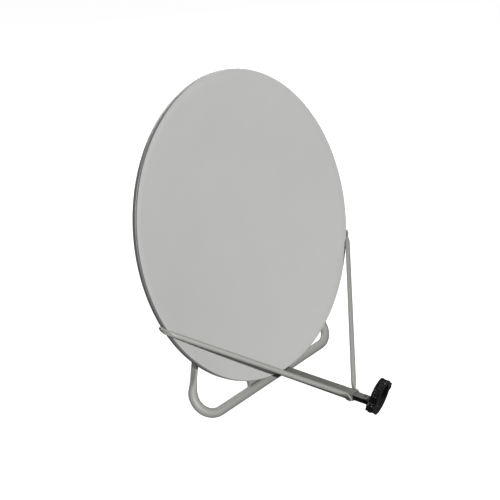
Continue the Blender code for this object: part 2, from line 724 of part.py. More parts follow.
def build_holder(arm_frame, holder_frame):
    """Stem in the arm's end, and a split ring for the feed with two screws."""
    half = ARM_WIDTH / 2.0 - ARM_WALL - GAP
    low = ARM_WALL + GAP
    block = box_mesh((-half, -STEM_VISIBLE, -ARM_HEIGHT + low), (half, STEM_HIDDEN, -low))
    stem = add_mesh_object("holder_stem", block, black_plastic, arm_frame)
    add_cut(stem, "stem_hole", arm_end_hole(), black_plastic, arm_frame)
    halves = []
    for sign, label in ((-1.0, "lower"), (1.0, "upper")):
        ring = outline_mesh(half_ring_outline(sign), HOLDER_LENGTH, FRONT_PLANE)
        halves.append(add_mesh_object("holder_" + label + "_half", ring, black_plastic, holder_frame))
    neck_end = -STEM_VISIBLE - NECK_LENGTH
    neck_sides = [(-STEM_VISIBLE, -low), (neck_end, -low - NECK_TOP_DROP),
                  (neck_end, -ARM_HEIGHT + low - NECK_BOTTOM_DROP), (-STEM_VISIBLE, -ARM_HEIGHT + low)]
    neck = side_plate(neck_sides, 2.0 * half, 0.0)
    add_cut(stem, "stem_neck", neck, black_plastic, arm_frame, "UNION")
    keep_out = box_mesh((-CROSS_REACH, -CROSS_REACH, -CROSS_REACH),
                        (CROSS_REACH, HOLDER_LENGTH / 2.0 + GAP, CROSS_REACH))
    add_cut(stem, "stem_end_face", keep_out, black_plastic, holder_frame)
    for side, name in ((-1.0, "holder_screw_left"), (1.0, "holder_screw_right")):
        x = side * (HOLDER_EAR - HOLDER_SCREW_INSET)
        for half_ring in halves:
            hole = rod_mesh((x, 0.0, -HOLDER_SCREW_REACH), (x, 0.0, HOLDER_SCREW_REACH),
                            SMALL_BOLT_RADIUS + GAP)
            add_cut(half_ring, "ear_hole", hole, black_plastic, holder_frame)
        reach = HOLDER_EAR_HEIGHT + HOLDER_SPLIT / 2.0 + GAP
        add_bolt(name, (x, 0.0, reach), (x, 0.0, -reach), SMALL_BOLT_RADIUS, SMALL_HEAD_RADIUS,
                 SMALL_HEAD_HEIGHT, holder_frame)


def half_ring_outline(sign):
    """Half of the feed clamp seen along its bore, with an ear at each side."""
    split = HOLDER_SPLIT / 2.0
    outer_start = math.asin((split + HOLDER_EAR_HEIGHT) / HOLDER_OUTER)
    inner_start = math.asin(split / HOLDER_BORE)
    points = [(HOLDER_BORE * math.cos(inner_start), split), (HOLDER_EAR, split),
              (HOLDER_EAR, split + HOLDER_EAR_HEIGHT)]
    points += arc_points((0.0, 0.0), HOLDER_OUTER, outer_start, math.pi - outer_start, 14)
    points += [(-HOLDER_EAR, split + HOLDER_EAR_HEIGHT), (-HOLDER_EAR, split)]
    points += arc_points((0.0, 0.0), HOLDER_BORE, math.pi - inner_start, inner_start, 14)[:-1]
    return [(x, y * sign) for x, y in points]


# The side struts

def strut_points(side):
    """Path of a strut from the end of its rim tab to its foot on the arm, in level axes from the
    middle of the rim, with the ways that the tab and the crossing over the rim's corner face."""
    turn = Matrix.Rotation(-RIM_TILT, 3, "X")
    outward = Vector((math.cos(STRUT_ANGLE) / RIM_HALF_WIDTH, 0.0, math.sin(STRUT_ANGLE) / RIM_HALF_HEIGHT))
    outward.normalize()
    edge = Vector((RIM_HALF_WIDTH * math.cos(STRUT_ANGLE), 0.0, RIM_HALF_HEIGHT * math.sin(STRUT_ANGLE)))
    bend = turn @ (edge + outward * STRUT_OUT + Vector((0.0, STRUT_DEPTH, 0.0)))
    outward = turn @ outward
    forward = turn @ Vector((0.0, -1.0, 0.0))
    foot_x = ARM_WIDTH / 2.0 + GAP + STRUT_FLAT_THICKNESS / 2.0
    foot = Vector((foot_x, ARM_BOLT_FROM_END, -ARM_HEIGHT / 2.0))
    foot = ARM_END + Matrix.Rotation(-ARM_SLOPE, 3, "X") @ foot
    way = foot - bend
    flat_way = Vector((0.0, way.y, way.z)).normalized()
    foot_start = foot - flat_way * STRUT_FOOT_LENGTH * STRUT_FOOT_SHARE
    foot_end = foot + flat_way * STRUT_FOOT_LENGTH * (1.0 - STRUT_FOOT_SHARE)
    span = foot_start - bend
    tab_way = (span - outward * span.dot(outward)).normalized()
    crossing = (outward * span.dot(forward) - forward * span.dot(outward)).normalized()
    path = [bend - tab_way * STRUT_TAB_LENGTH, bend - tab_way * STRUT_TAB_LENGTH / 2.0, bend]
    for distance in STRUT_STATIONS:
        path.append(bend + span.normalized() * distance)
    path.append(bend + span / 2.0)
    for distance in reversed(STRUT_STATIONS):
        path.append(foot_start - span.normalized() * distance)
    path += [foot_start, foot, foot_end]
    points = [Vector((point.x * side, point.y, point.z)) for point in path]
    faces = [outward, outward, (outward + crossing).normalized()]
    while len(faces) < len(points):
        share = (len(faces) - 3) / (len(points) - 6)
        faces.append(crossing.lerp(Vector((1.0, 0.0, 0.0)), min(share, 1.0)))
    return points, [Vector((face.x * side, face.y, face.z)) for face in faces]


def add_strut(name, points, faces, frame):
    """A thin tube along points, pressed flat at both ends, where faces are the ways that its flats
    look at the points."""
    lengths = path_lengths(points)
    tab = STRUT_TAB_LENGTH + STRUT_FLAT_PAST_BEND
    builder = bmesh.new()
    rings = []
    for index, point in enumerate(points):
        tangent = path_tangent(points, index)
        thin = faces[index]
        thin = (thin - tangent * thin.dot(tangent)).normalized()
        wide = tangent.cross(thin)
        pressed = max(press_share(lengths[index], tab, STRUT_EASE),
                      press_share(lengths[-1] - lengths[index], STRUT_FOOT_LENGTH, STRUT_EASE))
        half_wide = STRUT_RADIUS + (STRUT_FLAT_HALF_WIDTH - STRUT_RADIUS) * pressed
        half_thin = STRUT_RADIUS + (STRUT_FLAT_THICKNESS / 2.0 - STRUT_RADIUS) * pressed
        rings.append(section_ring(builder, point, wide, thin, half_wide, half_thin, pressed, STRUT_SIDES))
    loft_rings(builder, rings)
    made = add_mesh_object(name, builder, tube_paint, frame)
    shade_round(made)
    return made


def build_struts(world_frame, arm_frame, dish_frame):
    """Two thin tubes from the rim's edge to the arm's end, pressed flat at both ends."""
    for side, label in ((-1.0, "left"), (1.0, "right")):
        points, faces = strut_points(side)
        strut = add_strut("strut_" + label, points, faces, world_frame)
        add_cut(strut, "strut_hole", arm_end_hole(), tube_paint, arm_frame)
    reach = ARM_WIDTH / 2.0 + STRUT_FLAT_THICKNESS + 2.0 * GAP
    add_bolt("arm_end_bolt", (-reach, ARM_BOLT_FROM_END, -ARM_HEIGHT / 2.0),
             (reach, ARM_BOLT_FROM_END, -ARM_HEIGHT / 2.0), SMALL_BOLT_RADIUS, SMALL_HEAD_RADIUS,
             SMALL_HEAD_HEIGHT, arm_frame)


dish_frame = make_frame("dish_frame", Vector((0.0, 0.0, 0.0)), RIM_TILT)
world_frame = make_frame("level_frame", Vector((0.0, 0.0, 0.0)), 0.0)
front_loop_frame = make_frame("front_loop_frame", FRONT_RUN, FRONT_LEAN)
arm_frame = make_frame("arm_frame", ARM_END, ARM_SLOPE)
holder_frame = make_frame("holder_frame", HOLDER_CENTRE, -HOLDER_TILT, HOLDER_TURN)

build_reflector(dish_frame)
build_tray(dish_frame)
build_yoke(dish_frame)
build_studs(dish_frame)
build_stand(front_loop_frame)
build_pivot_bolts(dish_frame)
build_arm(arm_frame, dish_frame)
build_holder(arm_frame, holder_frame)
build_struts(world_frame, arm_frame, dish_frame)
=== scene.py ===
"""The looks of a small offset satellite dish on a stand of two bent tubes.

Every piece is a surface worked out from two parameters as whole arrays, in metres, in the frame of
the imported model: +Z up, the dish faces -Y and leans back, X = 0 is the plane of symmetry. Lengths
that the solids have too are the same here. In the dish frame Y is the depth behind the plane of
the rim and Z runs up in that plane.
"""
import math

import bmesh
import bpy
import numpy as np
from mathutils import Matrix, Vector


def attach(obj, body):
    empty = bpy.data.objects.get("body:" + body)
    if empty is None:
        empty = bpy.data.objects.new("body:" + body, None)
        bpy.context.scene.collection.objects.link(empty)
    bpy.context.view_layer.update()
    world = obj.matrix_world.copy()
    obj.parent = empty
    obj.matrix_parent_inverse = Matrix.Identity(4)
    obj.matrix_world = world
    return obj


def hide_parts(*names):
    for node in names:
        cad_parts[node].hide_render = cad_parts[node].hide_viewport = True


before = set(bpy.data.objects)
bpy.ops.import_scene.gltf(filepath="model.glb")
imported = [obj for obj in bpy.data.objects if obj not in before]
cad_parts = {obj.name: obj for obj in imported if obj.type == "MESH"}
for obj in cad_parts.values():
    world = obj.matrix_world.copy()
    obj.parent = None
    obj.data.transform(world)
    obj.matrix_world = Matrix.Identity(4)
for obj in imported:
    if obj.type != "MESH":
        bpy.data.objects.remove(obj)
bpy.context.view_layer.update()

GAP = 0.0003
TAU = 2.0 * math.pi
QUARTER = math.pi / 2.0
SIDES = ((-1.0, "left"), (1.0, "right"))
SOFT_EDGE = 0.0002

# Reflector
RIM_HALF_WIDTH = 0.225
RIM_HALF_HEIGHT = 0.247
RIM_CENTRE = np.array((0.0, 0.04848, 0.27463))
RIM_TILT = math.radians(17.5)
FOCAL_LENGTH = 0.27
DISH_SHEET = 0.0015
LIP_WIDTH = 0.006
SHOULDER_WIDTH = 0.003
SHOULDER_DEPTH = 0.0025
EDGE_DEPTH = 0.006
EDGE_RADIUS = 0.0015
# Thickness of the sheet along the depth, as a share of its thickness, behind the middle and at
# the tray's flanges
SHEET_BEHIND_MIDDLE = 1.1
SHEET_AT_FLANGES = 1.15

# The painted shade along the rim: a darker band on the turned edge standing in for the shade
# that falls on it at the left. The way in the dish frame toward which it grows, how far that way
# it is full, how far in it then starts as a share of the rim's radius, the share it fades over,
# and the length that the depth is divided by so that it doesn't count
SHADE_BAND_WAY = (-1.0, 0.0, 0.1)
SHADE_BAND_FULL = 0.65
SHADE_BAND_SHARE = 0.017
SHADE_BAND_FADE = 0.006
NO_DEPTH = 1.0e6

# Tray and yoke
BRACKET_SHEET = 0.002
BRACKET_BEND = 0.004
CORNER_ROUND = 0.005
LEAST_FLANGE = 0.0005
SHEET_BEVEL = 0.0003
TRAY_HALF_WIDTH = 0.055
TRAY_DEPTH = 0.0475
TRAY_BOTTOM = -0.272
TRAY_TOP = 0.045
TRAY_TOE_DEPTH = 0.038
TRAY_TOE_TOP = -0.250
TRAY_CONTOUR_BOTTOM = -0.215
YOKE_HALF_WIDTH = 0.052
YOKE_BOTTOM = -0.195
YOKE_TOP = -0.015
YOKE_EYE_RADIUS = 0.014
YOKE_EYE_ARC = math.radians(70.0)

# Stand tubes
TUBE_RADIUS = 0.00773
FLAT_THICKNESS = 0.004
FLAT_HALF_WIDTH = 0.0105
FRONT_RUN = np.array((0.0, -0.0446, -0.2669))
FRONT_LEAN = math.radians(47.0)
FRONT_HALF_RUN = 0.1261
FRONT_BEND = 0.0315
FRONT_TAPER = math.radians(39.5)
FRONT_TOP_BEND = 0.040
FRONT_EYE_LENGTH = 0.034
FRONT_ROUND_LEG = -0.012
PRESS_LENGTH = 0.030
EYE_FROM_END = 0.012
REAR_RUN = np.array((0.0, 0.165, -0.2669))
REAR_HALF_RUN = 0.014
REAR_BEND = 0.022
REAR_TOP_BEND = 0.060
REAR_EYE_LENGTH = 0.028

# Feed arm
ARM_END = np.array((0.0, -0.2122, -0.20907))
ARM_SLOPE = math.radians(11.5)
ARM_WIDTH = 0.016
ARM_HEIGHT = 0.012
ARM_WALL = 0.0012
ARM_CORNER = 0.0018
ARM_BOLT_FROM_END = 0.0058
ROOT_PLATE = (0.044, 0.003, 0.014)
ROOT_PLATE_CORNER = 0.003
ROOT_PLATE_SOFT = 0.0004
ROOT_BOLT_INSET = 0.007

# Side struts
STRUT_RADIUS = 0.004
STRUT_FLAT_THICKNESS = 0.0022
STRUT_FLAT_HALF_WIDTH = 0.0042
STRUT_ANGLE = math.radians(-19.7)
STRUT_TAB_LENGTH = 0.009
STRUT_OUT = 0.0027
STRUT_DEPTH = 0.0006
STRUT_FLAT_PAST_BEND = 0.005
STRUT_FOOT_LENGTH = 0.012
STRUT_FOOT_SHARE = 0.45
STRUT_EASE = 0.012
RIVET_RADIUS = 0.0028
RIVET_HEIGHT = 0.0011

# Feed holder
STEM_VISIBLE = 0.0229
STEM_HIDDEN = 0.030
NECK_LENGTH = 0.020
NECK_TOP_DROP = 0.0085
NECK_BOTTOM_DROP = 0.0055
HOLDER_TILT = math.radians(5.4)
HOLDER_TURN = math.radians(11.4)
HOLDER_BORE = 0.020
HOLDER_OUTER = 0.0272
HOLDER_LENGTH = 0.0115
HOLDER_CENTRE = np.array((-0.0032, -0.2567, -0.1893))
HOLDER_SPLIT = 0.0015
HOLDER_EAR = 0.0350
HOLDER_EAR_HEIGHT = 0.0042
HOLDER_SCREW_INSET = 0.005
EAR_ROUND = 0.0012
CHANNEL_DEPTH = 0.0018
CHANNEL_HALF_WIDTH = 0.0034
CHANNEL_STEP = 0.0012
CHANNEL_ROWS = (-1.0, -0.72, -0.6, -0.48, -0.24, 0.0, 0.24, 0.48, 0.6, 0.72, 1.0)
RIB_SPACING = math.radians(30.0)
RIB_HALF_WIDTH = math.radians(1.2)
RIB_STEP = math.radians(2.5)

# Fasteners: a bolt's sizes are its radius, its head's radius to the corners, its head's height and
# its thread's pitch
BOLT_RADIUS = 0.003
BOLT_HEAD_RADIUS = 0.0058
BOLT_PITCH = 0.001
BOLT = (BOLT_RADIUS, BOLT_HEAD_RADIUS, 0.004, BOLT_PITCH)
SMALL_BOLT = (0.002, 0.0038, 0.0022, 0.0007)
WASHER_SHARE = 1.12
WASHER_THICKNESS = 0.0006
STUD_HALF_SPACING = 0.034
STUD_HEIGHTS = (("low", -0.165), ("high", 0.015))
STUD_LENGTH = 0.0095
STUD_NUT_HEIGHT = 0.005
STUD_WASHER_SHARE = 1.15
STUD_WASHER_THICKNESS = 0.0008
COLLAR_RADIUS = 0.0055
COLLAR_LEAST = 0.001
THREAD_DEPTH = 0.18
THREAD_TIP = 0.0004
CHAMFER = math.tan(math.radians(28.0))

# Weld beads
BEAD_RADIUS = 0.0012
ARM_BEAD_RADIUS = 0.0011
BEAD_RIPPLE = 0.0016
BEAD_SWELL = 0.16

# Camera: its direction from the middle of the rim, distance, focal length and the rim's offset
# from the middle of the view, on a 36 mm wide sensor seen as 500 by 500 pixels
VIEW_AZIMUTH = math.radians(-46.0)
VIEW_ELEVATION = math.radians(27.81)
VIEW_DISTANCE = 1.1277
FOCAL_PIXELS = 713.7
PICTURE_SIDE = 500.0
SENSOR_WIDTH = 36.0
RIM_PIXEL = (255.38, 227.65)

# Floor
FLOOR_HALF_SIDE = 9.0
FLOOR_DROP = 0.0001


# Materials

def srgb(text):
    """Linear colour of an sRGB hex value."""
    values = np.array([int(text[i:i + 2], 16) for i in (1, 3, 5)]) / 255.0
    linear = np.where(values <= 0.04045, values / 12.92, ((values + 0.055) / 1.055) ** 2.4)
    return (*linear.tolist(), 1.0)


def feed(tree, node, links):
    """Joins each socket to the node's input of that name or number."""
    for key, socket in links.items():
        tree.links.new(socket, node.inputs[key])


def set_inputs(node, values):
    """Gives the node's inputs these values."""
    for key, value in values.items():
        node.inputs[key].default_value = value


def add_node(tree, kind, values=None, links=None, out=0, **settings):
    """One node with its settings, the values of its sockets and the sockets that feed it; gives
    its output of that number or name."""
    made = tree.nodes.new("ShaderNode" + kind)
    for key, value in settings.items():
        setattr(made, key, value)
    set_inputs(made, values or {})
    feed(tree, made, links or {})
    return made.outputs[out]


def start_material(name, values):
    """A Principled material with these values, its shader and its Object coordinates."""
    material = bpy.data.materials.new(name)
    material.use_nodes = True
    tree = material.node_tree
    shader = tree.nodes["Principled BSDF"]
    set_inputs(shader, {"IOR": 1.5, **values})
    return material, tree, shader, add_node(tree, "TexCoord", out="Object")


def per_millimetre(size):
    """Noise scale, per metre, of a pattern whose grains are this many millimetres across."""
    return 1000.0 / size


def clouded(tree, place, size, detail, dark, light):
    """A colour that drifts from dark to light in clouds this many millimetres across, and the
    clouds' own value."""
    cloud = add_node(tree, "TexNoise", {"Scale": per_millimetre(size), "Detail": detail},
                     {"Vector": place})
    tone = add_node(tree, "Mix", {6: srgb(dark), 7: srgb(light)}, {0: cloud}, 2, data_type="RGBA")
    return tone, cloud


def dust_and_sheen_on_top(tree, coat, top_colour, amount, start, full, specks=None):
    """The coat turning paler on faces turned up: dust on the powder coats and the clamp, a painted
    sheen on the stem's top. None where the normal's Z is under start, the whole amount from full
    on, broken up by specks where they are given."""
    normal = add_node(tree, "NewGeometry", out="Normal")
    rise = add_node(tree, "SeparateXYZ", links={0: normal}, out="Z")
    settled = add_node(tree, "MapRange", {"From Min": start, "From Max": full, "To Max": amount},
                       {"Value": rise})
    if specks:
        settled = add_node(tree, "Math", links={0: settled, 1: specks}, operation="MULTIPLY")
    return add_node(tree, "Mix", {7: srgb(top_colour)}, {0: settled, 6: coat}, 2, data_type="RGBA")


def painted_shade_band(tree, place, coat, colour):
    """The coat with a painted shade along the turned edge: a darker band standing in for the shade
    the rim is in, widest at the left, thin at the bottom and the upper left, none at the top and the
    right. Seen along the dish's depth the rim is an ellipse; a place's share of that ellipse, plus
    how far it lies the band's way, says where the band begins."""
    on_ellipse = add_node(tree, "Mapping", {
        "Location": RIM_CENTRE.tolist(), "Rotation": (-RIM_TILT, 0.0, 0.0),
        "Scale": (RIM_HALF_WIDTH, NO_DEPTH, RIM_HALF_HEIGHT)}, {"Vector": place}, vector_type="TEXTURE")
    share = add_node(tree, "VectorMath", None, {0: on_ellipse}, "Value", operation="LENGTH")
    leftward = add_node(tree, "VectorMath", {1: SHADE_BAND_WAY}, {0: on_ellipse}, "Value",
                        operation="DOT_PRODUCT")
    strength = add_node(tree, "MapRange", {"From Max": SHADE_BAND_FULL}, {"Value": leftward})
    total = add_node(tree, "Math", {1: SHADE_BAND_SHARE}, {0: strength, 2: share},
                     operation="MULTIPLY_ADD")
    edge = add_node(tree, "MapRange", {"From Min": 1.0, "From Max": 1.0 + SHADE_BAND_FADE},
                    {"Value": total})
    amount = add_node(tree, "Math", links={0: edge, 1: strength}, operation="MULTIPLY")
    return add_node(tree, "Mix", {7: srgb(colour)}, {0: amount, 6: coat}, 2, data_type="RGBA")


def feed_shader(tree, shader, colour, cloud, smoothest, roughest, height, strength, distance):
    """Feeds the shader its colour, a roughness that follows a cloud between two values, and a
    normal bumped by a height."""
    rough = add_node(tree, "MapRange", {"To Min": smoothest, "To Max": roughest}, {"Value": cloud})
    bump = add_node(tree, "Bump", {"Strength": strength, "Distance": distance},
                    {"Height": height})
    feed(tree, shader, {"Base Color": colour, "Roughness": rough, "Normal": bump})


def powder_coat(name, colour, shade, top_colour, roughness, peel, peel_height, top_grey_amount, shade_band_colour=None):
    """Powder coat baked on steel: a soft sheen over a fine orange peel, with slow shifts of tone
    where the coat is thicker, and dust that settles on faces turned up. peel is the width of its
    grains in millimetres; the last argument is the colour of the painted shade on the reflector's
    turned edge."""
    material, tree, shader, place = start_material(name, {"Roughness": roughness})
    tone = clouded(tree, place, 70.0, 3.0, shade, colour)[0]
    specks = add_node(tree, "TexNoise", {"Scale": per_millimetre(3.0), "Detail": 5.0},
                      {"Vector": place})
    coat = dust_and_sheen_on_top(tree, tone, top_colour, top_grey_amount, 0.35, 1.0, specks)
    # Painted shade: a darker band on the reflector's turned edge, where it is in shade
    if shade_band_colour:
        coat = painted_shade_band(tree, place, coat, shade_band_colour)
    grain = add_node(tree, "TexNoise", {"Scale": per_millimetre(peel), "Detail": 2.0},
                     {"Vector": place})
    feed_shader(tree, shader, coat, specks, roughness - 0.05, roughness + 0.07, grain, 0.35, peel_height)
    return material


# The reflector's light grey powder coat gives an even satin face; the real peel is under 1 mm
# and is drawn at 1.6 mm so that it shows, and a painted shade darkens the turned edge, most on the left
light_powder_coat = powder_coat("light_powder_coat_on_pressed_steel", "#B2B2B1", "#ADADAC", "#BDBCB8",
                                0.42, 1.6, 0.00006, 0.25, shade_band_colour="#5E5E5D")
# The same kind of coat, a tone darker, on the bent tubes and the bracket sheet
tube_powder_coat = powder_coat("grey_powder_coat_on_bent_tube", "#949491", "#8B8B88", "#9D9C96",
                               0.50, 1.4, 0.00006, 0.30)
# The struts are thinner tube and darker still
strut_powder_coat = powder_coat("grey_powder_coat_on_thin_tube", "#8E8E8B", "#858582", "#989791",
                                0.40, 1.2, 0.00005, 0.25)
# The arm's coat is dark and slightly warm
arm_powder_coat = powder_coat("warm_grey_powder_coat_on_steel_tube", "#62625D", "#595954", "#706F69",
                              0.36, 1.2, 0.00005, 0.20)


def moulded_plastic(name, top_grey_amount):
    """Black polypropylene as it leaves a lightly sparked mould: near black, a dull sheen broken by
    a fine leathery grain, slightly greyer where it has been handled, and paler on faces turned up:
    light dust at a small amount, a painted sheen at a large one."""
    material, tree, shader, place = start_material(
        name, {"Roughness": 0.23, "IOR": 1.49, "Specular IOR Level": 0.25})
    tone, cloud = clouded(tree, place, 14.0, 4.0, "#070707", "#101010")
    dust_and_sheen = dust_and_sheen_on_top(tree, tone, "#73736F", top_grey_amount, 0.55, 0.9)
    grain = add_node(tree, "TexVoronoi", {"Scale": per_millimetre(0.7)}, {"Vector": place})
    feed_shader(tree, shader, dust_and_sheen, cloud, 0.16, 0.30, grain, 0.25, 0.00005)
    return material


def zinc_plate(name, dark, light):
    """Zinc plate on turned and cold-headed steel: a metal with cloudy passivation and faint tool
    marks."""
    material, tree, shader, place = start_material(name, {"Roughness": 0.3, "Metallic": 1.0})
    tone, cloud = clouded(tree, place, 4.0, 3.0, dark, light)
    marks = add_node(tree, "TexNoise", {"Scale": per_millimetre(0.5), "Detail": 1.0},
                     {"Vector": place})
    feed_shader(tree, shader, tone, cloud, 0.22, 0.42, marks, 0.15, 0.00003)
    return material


# The clamp's two halves are clean; the stem's top is painted grey, a painted sheen standing in for
# the highlight it catches from the lights above
black_plastic = moulded_plastic("moulded_black_polypropylene", 0.04)
stem_plastic_with_painted_sheen = moulded_plastic("black_polypropylene_with_painted_top_sheen", 0.6)
# Bolts, studs and rivets are bright zinc; the clamp's two screws are the black kind
zinc = zinc_plate("bright_zinc_plate_on_steel", "#B9BBBA", "#D6D5CE")
black_zinc = zinc_plate("black_zinc_plate_on_steel", "#2E2E30", "#434342")


# Places

def turned_x(points, angle):
    """Points turned about X: Y and Z mixed by the angle's cosine and sine."""
    c, s = math.cos(angle), math.sin(angle)
    x, y, z = np.moveaxis(np.asarray(points, dtype=float), -1, 0)
    return np.stack((x, y * c - z * s, y * s + z * c), axis=-1)


def turned_z(points, angle):
    """Points turned about Z, as about X with the axes moved round by one."""
    return turned_x(points[..., (2, 0, 1)], angle)[..., (1, 2, 0)]


def placed(points, origin, lean, turn=0.0):
    """Local points leaned back about X, turned about Z and moved to origin from the rim's middle."""
    return turned_z(turned_x(points, -lean), turn) + RIM_CENTRE + origin


def in_dish(points):
    """Points of the dish frame in the model."""
    return placed(points, 0.0, RIM_TILT)


def in_arm(points):
    """Points of the arm's frame in the model."""
    return placed(points, ARM_END, ARM_SLOPE)


def from_arm(point):
    """A point of the model in the arm's frame."""
    return turned_x(point - RIM_CENTRE - ARM_END, ARM_SLOPE)


def in_holder(points):
    """Points of the clamp's frame in the model."""
    return placed(points, HOLDER_CENTRE, -HOLDER_TILT, HOLDER_TURN)


# Surfaces

MERGE_DISTANCE = 0.000002
LEAST_EDGE = 0.0000001
BEVEL_ANGLE = math.radians(50.0)


def points_of(x, y, z):
    """One array of points from three coordinates, each spread over the others' rows and columns."""
    return np.stack(np.broadcast_arrays(x, y, z), axis=-1)


def grid_faces(rows, columns, around, offset):
    """Quads between neighbouring rows and columns; the last column meets the first when around."""
    i = np.arange(rows - 1)[:, None]
    j = np.arange(columns if around else columns - 1)
    k = (j + 1) % columns
    quads = np.stack((i * columns + j, i * columns + k, (i + 1) * columns + k, (i + 1) * columns + j), -1)
    return quads.reshape(-1, 4) + offset


def add_object(name, data):
    """An object in the scene that shows this data."""
    made = bpy.data.objects.new(name, data)
    bpy.context.scene.collection.objects.link(made)
    return made


def add_piece(name, grids, material, node=None, around=True, sharp=40.0, sheet=0.0, facing=0.0,
              bevel=0.0):
    """A piece from grids of points, whose last column meets the first when around. Equal points
    are merged, which closes poles and seams. An open sheet is turned to the side of Y that facing
    has the sign of, and gets its thickness behind that."""
    points = []
    faces = []
    count = 0
    for grid in grids:
        rows, columns = grid.shape[:2]
        points.append(grid.reshape(-1, 3))
        faces.append(grid_faces(rows, columns, around, count))
        count += rows * columns
    mesh = bpy.data.meshes.new(name)
    mesh.from_pydata(np.concatenate(points).tolist(), [], np.concatenate(faces).tolist())
    builder = bmesh.new()
    builder.from_mesh(mesh)
    bmesh.ops.remove_doubles(builder, verts=builder.verts, dist=MERGE_DISTANCE)
    bmesh.ops.dissolve_degenerate(builder, edges=builder.edges, dist=LEAST_EDGE)
    bmesh.ops.recalc_face_normals(builder, faces=builder.faces)
    if facing:
        builder.normal_update()
        total = sum((face.normal * face.calc_area() for face in builder.faces), Vector())
        if total.y * facing < 0.0:
            bmesh.ops.reverse_faces(builder, faces=builder.faces)
    builder.to_mesh(mesh)
    builder.free()
    mesh.materials.append(material)
    mesh.shade_smooth()
    mesh.set_sharp_from_angle(angle=math.radians(sharp))
    piece = add_object(name, mesh)
    if sheet:
        wall = piece.modifiers.new("sheet", "SOLIDIFY")
        wall.thickness = sheet
        wall.offset = -1.0
        wall.use_even_offset = True
    if bevel:
        edge = piece.modifiers.new("edges", "BEVEL")
        edge.width = bevel
        edge.segments = 2
        edge.limit_method = "ANGLE"
        edge.angle_limit = BEVEL_ANGLE
    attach(piece, "root")
    if node:
        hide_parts(node)


def smooth_step(values):
    """0 to 1 with level ends: 3 v squared less 2 v cubed, held outside 0 to 1."""
    held = np.clip(values, 0.0, 1.0)
    return held * held * (3.0 - 2.0 * held)


def unit(vectors):
    """Vectors of length 1 the same way."""
    return vectors / np.linalg.norm(vectors, axis=-1, keepdims=True)


# The reflector

OFFSET_ANGLE = math.acos(RIM_HALF_WIDTH / RIM_HALF_HEIGHT)
BOWL_FRACTION = 1.0 - (LIP_WIDTH + SHOULDER_WIDTH) / RIM_HALF_WIDTH
BOWL_DEPTH = (RIM_HALF_WIDTH * BOWL_FRACTION) ** 2 / (4.0 * FOCAL_LENGTH)


def bowl_depth_at(x, height):
    """Depth of the bowl's front at a place in the dish frame, found by repeating: the share of the
    radius gives the depth along the beam, and that moves the height at which the share is read."""
    depth = 0.0 * (height + x)
    for _ in range(12):
        share_x = x / (RIM_HALF_WIDTH * BOWL_FRACTION)
        share_z = (height + depth * math.sin(OFFSET_ANGLE)) / (RIM_HALF_HEIGHT * BOWL_FRACTION)
        depth = SHOULDER_DEPTH + BOWL_DEPTH * (1.0 - share_x ** 2 - share_z ** 2)
    return depth * math.cos(OFFSET_ANGLE)


def reflector_grid(rings=44, columns=216):
    """Share of the radius by angle. The bowl's depth is a paraboloid's, the level depth less the
    squared share, slid along the beam; an even slope leads from it up the lip, a quarter circle
    turns the lip over, and a straight skirt goes back."""
    bowl = np.linspace(0.0, 1.0, rings) ** 0.8
    lip = np.linspace(0.0, 1.0, 13)[1:]
    turn = np.linspace(0.0, QUARTER, 7)[1:]
    skirt = np.linspace(EDGE_RADIUS, EDGE_DEPTH, 5)[1:]
    corner = 1.0 - EDGE_RADIUS / RIM_HALF_WIDTH
    share = np.concatenate((BOWL_FRACTION * bowl, BOWL_FRACTION + (corner - BOWL_FRACTION) * lip,
                            corner + EDGE_RADIUS * np.sin(turn) / RIM_HALF_WIDTH, np.ones(len(skirt))))
    depth = np.concatenate((SHOULDER_DEPTH + BOWL_DEPTH * (1.0 - bowl ** 2), SHOULDER_DEPTH * (1.0 - lip),
                            EDGE_RADIUS * (1.0 - np.cos(turn)), skirt))
    beam = np.concatenate((np.ones(rings), 1.0 - lip, np.zeros(len(turn) + len(skirt))))
    angle = np.linspace(0.0, TAU, columns, endpoint=False)
    share, depth, beam = share[:, None], depth[:, None], beam[:, None]
    return points_of(RIM_HALF_WIDTH * share * np.cos(angle),
                     depth * (1.0 - beam * (1.0 - math.cos(OFFSET_ANGLE))),
                     RIM_HALF_HEIGHT * share * np.sin(angle) - depth * beam * math.sin(OFFSET_ANGLE))


add_piece("reflector_sheet", [in_dish(reflector_grid())], light_powder_coat,
          "reflector", sharp=50.0, sheet=DISH_SHEET, facing=-1.0)


# The tray and the yoke: a sheet folded into a channel

def channel_grid(half_width, web, open_depth, heights, outward):
    """Across by height: one flange from its free edge to the bend, a quarter circle, the web, a
    quarter circle and the other flange. outward is 1 where the web is the back, -1 where it is
    the front."""
    inner = web - outward * BRACKET_BEND
    turn = np.linspace(0.0, QUARTER, 8)[1:-1]
    share = np.concatenate((np.linspace(0.0, 1.0, 12), np.ones(len(turn))))
    side_x = half_width - BRACKET_BEND * np.concatenate((np.zeros(12), 1.0 - np.cos(turn)))
    past = np.concatenate((np.zeros(12), outward * BRACKET_BEND * np.sin(turn)))
    web_x = np.linspace(half_width - BRACKET_BEND, BRACKET_BEND - half_width, 22)
    edge = open_depth[:, None]
    side_depth = edge + (inner - edge) * share + past
    x = np.concatenate((side_x, web_x, -side_x[::-1]))
    y = np.hstack((side_depth, np.full((len(heights), len(web_x)), web), side_depth[:, ::-1]))
    return points_of(x, y, heights[:, None])


RUN_IN_DISH = turned_x(FRONT_RUN, RIM_TILT)


def drawn_back(heights):
    """How far a flange's free edge draws back near the tray's top: a quarter circle's rise."""
    past = np.clip(heights - (TRAY_TOP - CORNER_ROUND), 0.0, CORNER_ROUND)
    return CORNER_ROUND - np.sqrt(CORNER_ROUND ** 2 - past ** 2)


def flange_contour(heights):
    """Depth of the bowl's back at the tray's flanges."""
    return bowl_depth_at(TRAY_HALF_WIDTH, heights) + DISH_SHEET * SHEET_AT_FLANGES + GAP


